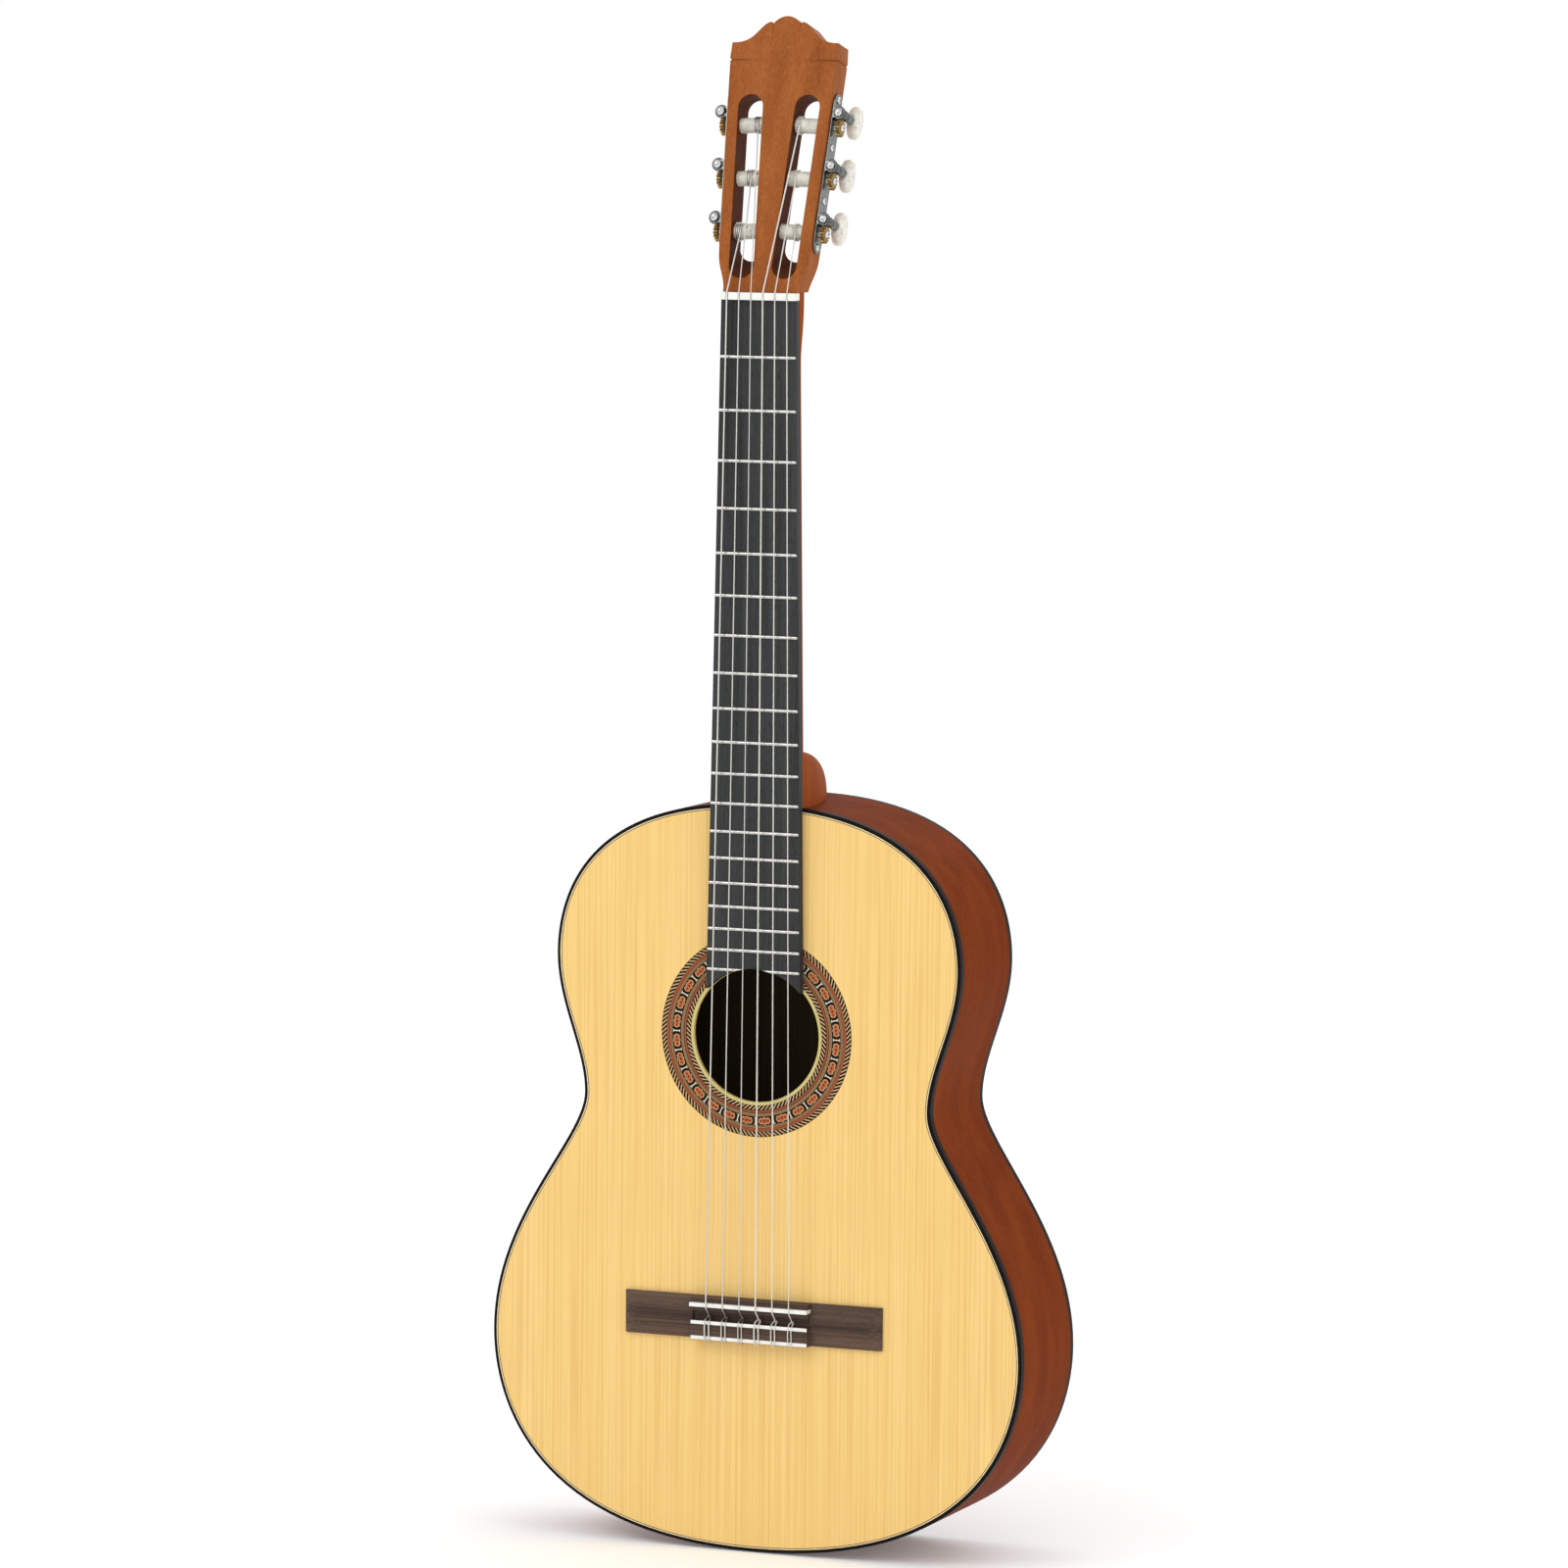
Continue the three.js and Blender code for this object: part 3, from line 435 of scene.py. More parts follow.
# %% [markdown]
# ## Modelling helpers
# Each piece is modelled as by hand: select it alone, go into edit mode, select by place, and use an
# operator. These helpers do only that. The last one, `done`, turns the normals outwards, smooths
# the shading but lets the large faces decide it, applies the place to the mesh, and hands the piece
# to the body that it rides on.

# %% Modelling helpers
def alone(*pieces):
    if bpy.context.object and bpy.context.object.mode != "OBJECT":
        bpy.ops.object.mode_set(mode="OBJECT")
    bpy.ops.object.select_all(action="DESELECT")
    for piece in pieces:
        piece.select_set(True)
    bpy.context.view_layer.objects.active = pieces[0]


def edit(piece, mode="FACE", select="SELECT"):
    alone(piece)
    bpy.ops.object.mode_set(mode="EDIT")
    bpy.ops.mesh.select_mode(type=mode)
    bpy.ops.mesh.select_all(action=select)


def pick(piece, where, kind="FACE"):
    """Goes into edit mode with only those faces, edges or vertices selected that where() accepts."""
    edit(piece, kind, "DESELECT")
    bpy.ops.object.mode_set(mode="OBJECT")
    mesh = piece.data
    for item in {"FACE": mesh.polygons, "EDGE": mesh.edges, "VERT": mesh.vertices}[kind]:
        item.select = bool(where(item))
    bpy.ops.object.mode_set(mode="EDIT")


def extruded(piece, vector):
    bpy.ops.mesh.extrude_region_move(TRANSFORM_OT_translate={"value": vector})


def modified(piece, kind, **settings):
    alone(piece)
    modifier = piece.modifiers.new(kind.lower(), kind)
    for setting, value in settings.items():
        setattr(modifier, setting, value)
    bpy.ops.object.modifier_apply(modifier=modifier.name)


def cut(piece, cutter, operation="DIFFERENCE"):
    modified(piece, "BOOLEAN", object=cutter, operation=operation, solver="EXACT")
    bpy.data.objects.remove(cutter)


def rounded(piece, width, segments=3, angle=40):
    modified(piece, "BEVEL", width=width * mm, segments=segments, limit_method="ANGLE",
             angle_limit=math.radians(angle))


def tidy(piece):
    """Merges doubles and turns the normals outwards, before a copy of a frame node is refined."""
    edit(piece)
    bpy.ops.mesh.remove_doubles(threshold=0.000002)
    bpy.ops.mesh.normals_make_consistent(inside=False)
    bpy.ops.object.mode_set(mode="OBJECT")


def done(piece, name, material, body=BODY, instead_of=(), angle=35):
    alone(piece)
    if piece.type != "MESH":
        bpy.ops.object.convert(target="MESH")
        piece = bpy.context.object
    bpy.ops.object.transform_apply(location=True, rotation=True, scale=True)
    edit(piece)
    bpy.ops.mesh.normals_make_consistent(inside=False)
    bpy.ops.object.mode_set(mode="OBJECT")
    bpy.ops.object.shade_smooth_by_angle(angle=math.radians(angle))
    modified(piece, "WEIGHTED_NORMAL", keep_sharp=True)
    piece.name = piece.data.name = name
    piece.data.materials.clear()
    piece.data.materials.append(material)
    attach(piece, body)
    if instead_of:
        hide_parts(*instead_of)
    return piece


def copy_of(piece, name):
    twin = piece.copy()
    twin.data = piece.data.copy()
    twin.name = twin.data.name = name
    bpy.context.collection.objects.link(twin)
    return twin


def refined(node_name, bevel, segments=2, angle=30):
    """A copy of a frame node with its loose triangles merged into clean faces and soft edges."""
    piece = copy_of(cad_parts[node_name], node_name + "_copy")
    piece.parent = None
    tidy(piece)
    edit(piece)
    bpy.ops.mesh.dissolve_limited(angle_limit=math.radians(1))
    bpy.ops.object.mode_set(mode="OBJECT")
    if bevel:
        rounded(piece, bevel, segments, angle)
    return piece


print("modelling helpers ready")

# %% [markdown]
# ## The outline of the body
# The plates, ribs and bindings share one outline. It could be traced with many points, but eight
# Bezier points are what a template maker would use: the two ends, and on each side the upper bout,
# the waist and the lower bout, all with upright handles. Filled, inset and extruded, the same
# curve gives every piece of the body.

# %% Body outline
BOUTS = ((141.2, 386.7, 37.6, 34.3), (121.1, 295.3, 28.4, 30.9), (185.6, 134.7, 75.8, 52.5))
TOP_HANDLE, TAIL_HANDLE = 121.5, 152.9


def body_knots():
    """Each knot: its place, the handle before it and the handle after it, as x and z."""
    treble = [((x, z), (x, z + above), (x, z - below)) for x, z, above, below in BOUTS]
    bass = [((-x, z), (-x, z - below), (-x, z + above)) for x, z, above, below in reversed(BOUTS)]
    top = ((0, BODY_LENGTH), (-TOP_HANDLE, BODY_LENGTH), (TOP_HANDLE, BODY_LENGTH))
    tail = ((0, 0), (TAIL_HANDLE, 0), (-TAIL_HANDLE, 0))
    return [top, *treble, tail, *bass]


def drawn(knots, steps, depth=0, closed=True, place=at):
    """A closed Bezier curve in the plane of the soundboard, turned into a ring of edges."""
    bpy.ops.object.select_all(action="DESELECT")
    bpy.ops.curve.primitive_bezier_curve_add()
    piece = bpy.context.object
    spline = piece.data.splines[0]
    spline.bezier_points.add(len(knots) - 2)
    for point, (middle, before, after) in zip(spline.bezier_points, knots):
        point.handle_left_type = point.handle_right_type = "FREE"
        point.co = place(middle[0], depth, middle[1])
        point.handle_left = place(before[0], depth, before[1])
        point.handle_right = place(after[0], depth, after[1])
    spline.use_cyclic_u = closed
    piece.data.resolution_u = steps
    bpy.ops.object.convert(target="MESH")
    return bpy.context.object


def outline_face(depth, inset=0.0):
    """The filled outline at a depth, moved inwards by an inset."""
    piece = drawn(body_knots(), 32, depth)
    edit(piece, "EDGE")
    bpy.ops.mesh.edge_face_add()
    if inset:
        bpy.ops.mesh.select_mode(type="FACE")
        bpy.ops.mesh.inset(thickness=inset * mm)
        bpy.ops.mesh.select_all(action="INVERT")
        bpy.ops.mesh.delete(type="FACE")
    return piece


def outline_ring(depth, outer, inner):
    piece = outline_face(depth, outer)
    bpy.ops.mesh.select_all(action="SELECT")
    bpy.ops.mesh.inset(thickness=(inner - outer) * mm)
    bpy.ops.mesh.delete(type="FACE")
    return piece


BACK_SLOPE = math.atan2(DEPTH_AT_TAIL - DEPTH_AT_NECK, BODY_LENGTH)


def trimmed_to_back(piece, inwards, keep="inner"):
    """Cuts along the plane of the back, moved inwards, and closes the cut."""
    edit(piece)
    normal = Vector((0, math.cos(BACK_SLOPE), math.sin(BACK_SLOPE)))
    bpy.ops.mesh.bisect(plane_co=at(0, DEPTH_AT_TAIL - inwards, 0), plane_no=normal, use_fill=True,
                        clear_outer=keep == "inner", clear_inner=keep != "inner")
    bpy.ops.object.mode_set(mode="OBJECT")


print("outline knots:", len(body_knots()))

# %% [markdown]
# ## Soundboard
# The top is a thin plate inside the binding, with the sound hole and a shallow step round it that
# the rosette is glued into. Here the outline is filled and thickened, and one stepped cutter takes
# out both the hole and the step.

# %% Soundboard
HOLE_RADIUS = 43.7
PURFLING = {"cream": (2.3, 3.0), "black": (3.0, 3.45)}
PLATE = 2.6


def disc(radius, low, high, centre_z=SOUNDHOLE_Z, vertices=192):
    """A round block along the depth, centred on the sound hole."""
    bpy.ops.object.select_all(action="DESELECT")
    bpy.ops.mesh.primitive_cylinder_add(vertices=vertices, radius=radius * mm, depth=(high - low) * mm,
                                        location=at(0, (low + high) / 2, centre_z),
                                        rotation=(math.pi / 2, 0, 0))
    return bpy.context.object


soundboard = outline_face(0, PURFLING["black"][1])
bpy.ops.mesh.select_all(action="SELECT")
extruded(soundboard, (0, PLATE * mm, 0))
tidy(soundboard)
cut(soundboard, disc(RING_OUTER + 0.05, -2, 1.0))
cut(soundboard, disc(HOLE_RADIUS, -3, 6))
done(soundboard, "soundboard_plate", spruce, instead_of=["soundboard"], angle=30)
print("soundboard:", len(soundboard.data.polygons), "faces")

# %% [markdown]
# The step is a little too wide on its inner side, because the real wood runs up again between the
# rosette and the hole. A plain ring of the same spruce fills that lip, which keeps the cutter
# simple. The rosette is a second ring that fills the rest.

# %% Lip and rosette
def flat_ring(inner, outer, low, high, vertices=192):
    """A washer round the sound hole: a filled circle, inset, opened and thickened."""
    bpy.ops.object.select_all(action="DESELECT")
    bpy.ops.mesh.primitive_circle_add(vertices=vertices, radius=outer * mm, fill_type="NGON",
                                      location=at(0, low, SOUNDHOLE_Z), rotation=(math.pi / 2, 0, 0))
    piece = bpy.context.object
    edit(piece)
    bpy.ops.mesh.inset(thickness=(outer - inner) * mm)
    bpy.ops.mesh.delete(type="FACE")
    bpy.ops.mesh.select_all(action="SELECT")
    extruded(piece, (0, (high - low) * mm, 0))
    return piece


lip = flat_ring(HOLE_RADIUS, RING_INNER, 0, 1.02)
done(lip, "soundhole_lip", lip_wood)
rosette = flat_ring(RING_INNER, RING_OUTER, 0, 1.0)
done(rosette, "rosette_ring", mosaic, instead_of=["rosette"])
print("rosette ring:", len(rosette.data.polygons), "faces")

# %% [markdown]
# ## Binding and purfling
# A black strip guards the edge of the soundboard and of the back, and the top has two thin lines
# beside it, one cream and one black. The binding's outer corner is rounded over, as a scraper
# would leave it, so it is the only strip that gets a bevel.

# %% Binding and purfling
BINDING_WIDE, BINDING_DEEP = 2.3, 6.0
for colour, (outer, inner) in PURFLING.items():
    line = outline_ring(0, outer, inner)
    bpy.ops.mesh.select_all(action="SELECT")
    extruded(line, (0, PLATE * mm, 0))
    done(line, "purfling_" + colour, purfling_cream if colour == "cream" else binding_black)

front_binding = outline_ring(0, 0, BINDING_WIDE)
bpy.ops.mesh.select_all(action="SELECT")
extruded(front_binding, (0, BINDING_DEEP * mm, 0))
tidy(front_binding)


def outer_rim(depth_at):
    """Accepts an edge that lies on the outline's rim at a given depth."""
    def test(edge):
        return all(abs(v.y - depth_at(v.z)) < 0.00005 for v in edge)
    return test


def round_rim(piece, depth_at, width=0.9):
    """Bevels the outer of the two rims at one depth: the edges whose faces turn outwards."""
    mesh = piece.data
    reach = {e.index: max((mesh.vertices[v].co - at(0, 0, 250)).length for v in e.vertices) for e in mesh.edges}
    test = outer_rim(depth_at)
    rims = [e for e in mesh.edges if test([mesh.vertices[v].co for v in e.vertices])
            and (mesh.vertices[e.vertices[0]].co - mesh.vertices[e.vertices[1]].co).length > 0]
    walls = {}
    for face in mesh.polygons:
        if abs(face.normal.y) < 0.5:
            outward = Vector((face.center.x, 0, face.center.z - 0.25))
            for key in face.edge_keys:
                walls[key] = face.normal.dot(outward) > 0
    chosen = {e.index for e in rims if walls.get(tuple(sorted(e.vertices)))}
    pick(piece, lambda e: e.index in chosen, "EDGE")
    bpy.ops.mesh.bevel(offset=width * mm, segments=4)
    bpy.ops.object.mode_set(mode="OBJECT")


round_rim(front_binding, lambda z: FRONT)
done(front_binding, "front_binding_strip", binding_black, instead_of=["front_binding"], angle=50)


def depth_of_back(z):
    return FRONT + DEPTH_AT_TAIL * mm + (DEPTH_AT_NECK - DEPTH_AT_TAIL) * z / BODY_LENGTH


back_binding = outline_ring(DEPTH_AT_NECK - BINDING_DEEP - 4, 0, BINDING_WIDE)
bpy.ops.mesh.select_all(action="SELECT")
extruded(back_binding, (0, 20 * mm, 0))
tidy(back_binding)
trimmed_to_back(back_binding, 0)
trimmed_to_back(back_binding, BINDING_DEEP, keep="outer")
round_rim(back_binding, depth_of_back)
done(back_binding, "back_binding_strip", binding_black, instead_of=["back_binding"], angle=50)
print("binding faces:", len(front_binding.data.polygons), len(back_binding.data.polygons))

# %% [markdown]
# ## Ribs and back
# The ribs are two bent strips that meet under the tail and at the neck. Both come from one ring,
# cut in half down the middle. The back is a plain plate that lies in the plane of the slope. Its
# inner face gets a dark material, which is painted shade inside the body.

# %% Ribs and back
RIB = 2.2
for name, side in (("treble", 1), ("bass", -1)):
    rib = outline_ring(BINDING_DEEP, 0, RIB)
    bpy.ops.mesh.select_all(action="SELECT")
    extruded(rib, (0, 110 * mm, 0))
    tidy(rib)
    trimmed_to_back(rib, BINDING_DEEP)
    edit(rib)
    bpy.ops.mesh.bisect(plane_co=(side * 0.02 * mm, 0, 0), plane_no=(side, 0, 0), use_fill=True, clear_inner=True)
    done(rib, name + "_rib", varnished_sides, instead_of=[name + "_side"], angle=30)

back = outline_face(DEPTH_AT_NECK - PLATE - 4, BINDING_WIDE)
bpy.ops.mesh.select_all(action="SELECT")
extruded(back, (0, 20 * mm, 0))
tidy(back)
trimmed_to_back(back, 0)
trimmed_to_back(back, PLATE, keep="outer")
done(back, "back_plate", varnished_back, instead_of=["back"], angle=30)
# The inner faces of the back get the dark material, which paints the shade inside the body.
back.data.materials.append(inside_wood_painted_shade)
for face in back.data.polygons:
    if face.normal.y < -0.5:
        face.material_index = 1
print("back:", len(back.data.polygons), "faces")

# %% [markdown]
# ## Inside
# Blocks, linings and braces can be seen only through the sound hole. Their frame nodes have the
# right shape, so they stay and only get bare wood, with the grain along each bar.

# %% Inside
for name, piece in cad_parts.items():
    if name.endswith(("_brace", "_lining", "_block")) or name.startswith("fan_brace"):
        crosswise = name.endswith("_brace") and not name.startswith("fan")
        piece.data.materials.clear()
        piece.data.materials.append(across_wood if crosswise else brace_wood)
print("bare wood on", sum("brace" in n or "lining" in n or "block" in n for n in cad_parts), "inner nodes")

# %% [markdown]
# ## Neck
# The neck is carved from one piece: a half-round shaft that widens towards the body and swells
# into the heel. Carving in reverse is easy: start with a half disc at the body, then extrude it
# upwards a little at a time, and scale each new section to the width and depth it should have.

# %% Neck
NUT_WIDE, BODY_WIDE = 52, 62
SHAFT_AT_NUT, SHAFT_AT_BODY = 14.6, 17
HEEL_HIGH, HEEL_DEEP, HEEL_FULLNESS = 34, 91, 2.4


def board_half(z):
    """Half the width of the fingerboard at a height."""
    return (NUT_WIDE + (BODY_WIDE - NUT_WIDE) * (NUT_Z - z) / (SCALE_LENGTH / 2)) / 2


def neck_depth(up):
    shaft = SHAFT_AT_BODY + (SHAFT_AT_NUT - SHAFT_AT_BODY) * min(max(up / (SCALE_LENGTH / 2), 0), 1)
    risen = min(max(up / HEEL_HIGH, 0), 1)
    heel = HEEL_DEEP * (1 - risen ** HEEL_FULLNESS) ** (1 / HEEL_FULLNESS)
    return (shaft ** 6 + heel ** 6) ** (1 / 6)


def half_disc(z):
    bpy.ops.object.select_all(action="DESELECT")
    bpy.ops.mesh.primitive_circle_add(vertices=96, radius=mm, fill_type="NGON", location=at(0, 0, z))
    piece = bpy.context.object
    bpy.ops.object.transform_apply(location=True)
    edit(piece)
    bpy.ops.mesh.bisect(plane_co=at(0, 0, z), plane_no=(0, 1, 0), clear_inner=True, threshold=0.000001)
    bpy.ops.mesh.select_all(action="SELECT")
    return piece


turns = [90 * i / 24 for i in range(25)]
stations = [HEEL_HIGH * math.sin(math.radians(t)) for t in turns] + [39, 42, 46, 60, 120, 200, 280]
stations += [290, 300, 306, 312, 318, 324, SCALE_LENGTH / 2 + 4.9]
neck = half_disc(BODY_LENGTH - 2)
width, depth, height = 1.0, 1.0, -2.0
for up in [-2.0, *stations]:
    if up > height:
        bpy.ops.mesh.extrude_region_move(TRANSFORM_OT_translate={"value": (0, 0, (up - height) * mm)})
    new_width, new_depth = board_half(BODY_LENGTH + up), neck_depth(up)
    bpy.ops.transform.resize(value=(new_width / width, new_depth / depth, 1),
                             center_override=at(0, 0, BODY_LENGTH + up))
    width, depth, height = new_width, new_depth, up
bpy.ops.object.mode_set(mode="OBJECT")
print("neck:", len(neck.data.polygons), "faces")

# %% [markdown]
# Towards the nut the shaft's section turns from a half ellipse into the squarer end of the head.
# That change is a formula, so it is done on the points of the mesh: each is pushed out along its
# own direction by a power that grows towards the nut. The foot of the heel is cut off where the
# rib bulges, with the same outline curve, so that they meet without a gap.

# %% Neck end and heel foot
def square_up(piece, start, end, power):
    for vertex in piece.data.vertices:
        up = vertex.co.z / mm - BODY_LENGTH
        amount = min(max((up - start) / (end - start), 0), 1)
        if amount > 0 and vertex.co.y > FRONT + 0.0001:
            half, deep = board_half(vertex.co.z / mm) * mm, neck_depth(up) * mm
            c, s = vertex.co.x / half, (vertex.co.y - FRONT) / deep
            exponent = 2 + power * amount * amount * (3 - 2 * amount)
            vertex.co.x = math.copysign(abs(c) ** (2 / exponent), c) * half
            vertex.co.y = FRONT + max(s, 0) ** (2 / exponent) * deep


square_up(neck, 285, 330, 3.0)
foot = outline_face(-10)
bpy.ops.mesh.select_all(action="SELECT")
extruded(foot, (0, 130 * mm, 0))
tidy(foot)
tidy(neck)
cut(neck, foot)
done(neck, "neck_and_heel", neck_wood, instead_of=["neck"], angle=40)
print("neck from z =", round(min(v.co.z for v in neck.data.vertices), 4))

# %% [markdown]
# ## Fingerboard
# The fingerboard is a tapered slab of rosewood whose lower end is scooped out to follow the sound
# hole. A cube is enough to start: its lower end is scaled wider, a cylinder cuts the scoop, and
# the long edges are eased.

# %% Fingerboard
BOARD_THICK = 6.0
BOARD_END = NUT_Z - 446
bpy.ops.object.select_all(action="DESELECT")
bpy.ops.mesh.primitive_cube_add(size=1, location=at(0, -BOARD_THICK / 2 - 0.05, (NUT_Z + BOARD_END) / 2),
                                scale=(NUT_WIDE * mm, (BOARD_THICK + 0.05) * mm, (NUT_Z - BOARD_END) * mm))
board = bpy.context.object
bpy.ops.object.transform_apply(location=True, rotation=True, scale=True)
pick(board, lambda face: face.normal.z < -0.5)
bpy.ops.transform.resize(value=(2 * board_half(BOARD_END) / NUT_WIDE, 1, 1), center_override=at(0, 0, BOARD_END))
bpy.ops.object.mode_set(mode="OBJECT")
cut(board, disc(HOLE_RADIUS + 0.12, -20, 20))
rounded(board, 0.35, 2, 60)
done(board, "fingerboard", board_wood, instead_of=["fretted_fingerboard"], angle=30)
print("fingerboard:", len(board.data.polygons), "faces")

# %% [markdown]
# ## Frets
# A fret is a bead of nickel wire. One is modelled from a cylinder that lies across the board, with
# its ends scaled down for the filed slope, and flattened to the height of the bead. Each of the
# nineteen is a copy, stretched to the board's width at its place. The spacing follows from the
# scale: every fret leaves the same share of the string. The scoop cuts the last one in two.

# %% Frets
FRETS = 19
FRET_HALF, FRET_HIGH = 1.15, 1.1


def fret_bead():
    """A bead of unit half length, centred on the board's top."""
    bpy.ops.object.select_all(action="DESELECT")
    bpy.ops.mesh.primitive_cylinder_add(vertices=20, radius=1, depth=2, rotation=(0, math.pi / 2, 0))
    bead = bpy.context.object
    bpy.ops.object.transform_apply(rotation=True)
    pick(bead, lambda face: abs(face.normal.x) > 0.5)
    bpy.ops.mesh.inset(thickness=0.35)
    bpy.ops.object.mode_set(mode="OBJECT")
    pick(bead, lambda v: abs(v.co.x) > 0.9 and (v.co.y ** 2 + v.co.z ** 2) ** 0.5 > 0.9, "VERT")
    bpy.ops.transform.resize(value=(0.972, 1, 1), center_override=(0, 0, 0))
    bpy.ops.object.mode_set(mode="OBJECT")
    return bead


bead = fret_bead()
for n in range(1, FRETS + 1):
    z = NUT_Z - SCALE_LENGTH * (1 - 2 ** (-n / 12))
    half = board_half(z) - 0.35
    wire_fret = copy_of(bead, "fret")
    wire_fret.scale = (half * mm, FRET_HIGH * mm, FRET_HALF * mm)
    wire_fret.location = at(0, -BOARD_THICK - 0.05, z)
    alone(wire_fret)
    bpy.ops.object.transform_apply(location=True, rotation=True, scale=True)
    if n == FRETS:
        cut(wire_fret, disc(HOLE_RADIUS + 0.12, -20, 20))
    done(wire_fret, f"fret_{n}", steel, angle=50)
bpy.data.objects.remove(bead)
print("frets:", FRETS)

# %% [markdown]
# ## Bridge
# A classical bridge has two low, arched wings, a higher block that holds the saddle, and the tie
# block behind it. The arch is what gives the bevelled ends their curved border, so the wings are
# made as an arched bar first and only then cut on a slant. The blocks are joined to it, and the
# channel, the saddle's slot and the six string holes are cut out.

# %% Bridge
BRIDGE_HALF, BRIDGE_FRONT, BRIDGE_BACK = 90, 648, 676  # front and back are distances from the nut
BRIDGE_TOP, WING_TOP, WING_EDGE = 9.2, 5.2, 2.5
BLOCK_HALF, SADDLE_AT, TIE_FRONT = 41, 653, 663.5
SADDLE_SPREAD, TIE_HOLE = 58, 5


def bar(half, low, high, front, back):
    bpy.ops.object.select_all(action="DESELECT")
    bpy.ops.mesh.primitive_cube_add(size=1, location=at(0, -(low + high) / 2, NUT_Z - (front + back) / 2),
                                    scale=flat(2 * half, high - low, back - front))
    piece = bpy.context.object
    bpy.ops.object.transform_apply(location=True, rotation=True, scale=True)
    return piece


bridge = bar(BRIDGE_HALF, 0.1, WING_TOP, BRIDGE_FRONT, BRIDGE_BACK)
points = bridge.data.vertices
pick(bridge, lambda e: abs(points[e.vertices[0]].co.z - points[e.vertices[1]].co.z) > 0.01, "EDGE")
bpy.ops.mesh.subdivide(number_cuts=11)
bpy.ops.object.mode_set(mode="OBJECT")
middle, reach = (NUT_Z - (BRIDGE_FRONT + BRIDGE_BACK) / 2) * mm, (BRIDGE_BACK - BRIDGE_FRONT) / 2 * mm
for point in bridge.data.vertices:
    if point.co.y < FRONT - 0.001:
        point.co.y += (WING_TOP - WING_EDGE) * mm * abs((point.co.z - middle) / reach) ** 2.4
edit(bridge)
for side in (1, -1):
    bpy.ops.mesh.select_all(action="SELECT")
    bpy.ops.mesh.bisect(plane_co=at(side * BRIDGE_HALF, -1.4, 0), plane_no=(side * 0.46, -1, 0), use_fill=True,
                        clear_outer=True)
bpy.ops.object.mode_set(mode="OBJECT")
cut(bridge, bar(BLOCK_HALF, 0.5, BRIDGE_TOP - 0.8, BRIDGE_FRONT + 0.3, 657.5), "UNION")
cut(bridge, bar(BLOCK_HALF, 0.5, BRIDGE_TOP, TIE_FRONT, BRIDGE_BACK - 0.02), "UNION")
cut(bridge, bar(BLOCK_HALF - 0.02, 3.6, 20, 657, TIE_FRONT + 0.02))
cut(bridge, bar(BLOCK_HALF + 0.3, 3, 20, SADDLE_AT - 1.4, SADDLE_AT + 1.4))
for share in range(6):
    bpy.ops.object.select_all(action="DESELECT")
    bpy.ops.mesh.primitive_cylinder_add(vertices=20, radius=0.9 * mm, depth=16 * mm,
                                        location=at((share / 5 - 0.5) * SADDLE_SPREAD, -TIE_HOLE, NUT_Z - 670))
    cut(bridge, bpy.context.object)
tidy(bridge)
done(bridge, "bridge_block", bridge_wood, instead_of=["bridge"], angle=22)
print("bridge:", len(bridge.data.polygons), "faces")

# %% [markdown]
# ## Nut, saddle and strips
# The nut has the right shape in the frame, so a copy of it is merged into clean faces and given
# soft edges, which is what catches the light on worn plastic. The saddle is a plain bar. The tie block
# carries two thin strips along its edges, which keep the knots from biting into the wood.

# %% Nut, saddle and strips
nut = refined("nut", 0.35)
done(nut, "nut_bar", white_plastic, instead_of=["nut"])
saddle = bar(BLOCK_HALF + 0.2, 3.1, 11.4, SADDLE_AT - 1.3, SADDLE_AT + 1.3)
rounded(saddle, 0.35, 3)
done(saddle, "saddle_bar", white_plastic, instead_of=["saddle"])
for name, from_nut in (("front", 664.7), ("rear", 674.7)):
    strip = bar(BLOCK_HALF - 0.3, BRIDGE_TOP - 0.4, BRIDGE_TOP + 0.3, from_nut - 1.15, from_nut + 1.15)
    rounded(strip, 0.15, 2)
    done(strip, f"tie_block_{name}_strip", white_plastic)
print("saddle top:", round((FRONT - min(v.co.y for v in saddle.data.vertices)) / mm, 2), "mm over the top")

# %% [markdown]
# ## Headstock
# The head is a flat board that leans back from the nut, with a carved crown and two slots. It is
# drawn flat, in its own upright place, because every cut is square to its face there. Only when
# all is done is it tilted into place. The crown is a Bezier curve again: where a knot repeats its
# own place as a handle, the line into it is straight.

# %% Headstock blank
EDGE_LOW, EDGE_HIGH = (31.4, 27), (37.2, 152.4)
LEAN = math.atan2(EDGE_HIGH[0] - EDGE_LOW[0], EDGE_HIGH[1] - EDGE_LOW[1])
CROWN = (((25.6, -8), None, None), ((25.6, 1), None, (26.4, 12)), (EDGE_LOW, (31, 15), None),
         (EDGE_HIGH, None, None), ((36.4, 153.2), None, None), ((37.4, 154), None, None),
         ((36.8, 164.4), None, (24, 164)), ((16, 175.5), (21, 171), (13.7, 177.6)),
         ((10.4, 178), (11.9, 178.4), None), ((9.4, 176.6), None, None),
         ((8.6, 178.2), None, (5.9, 180.7)))


def head_knots():
    treble = [(knot, before or knot, after or knot) for knot, before, after in CROWN]
    bass = [tuple((-x, z) for x, z in (knot, after, before)) for knot, before, after in reversed(treble)]
    return [*treble, ((0, 182), (3, 182), (-3, 182)), *bass]


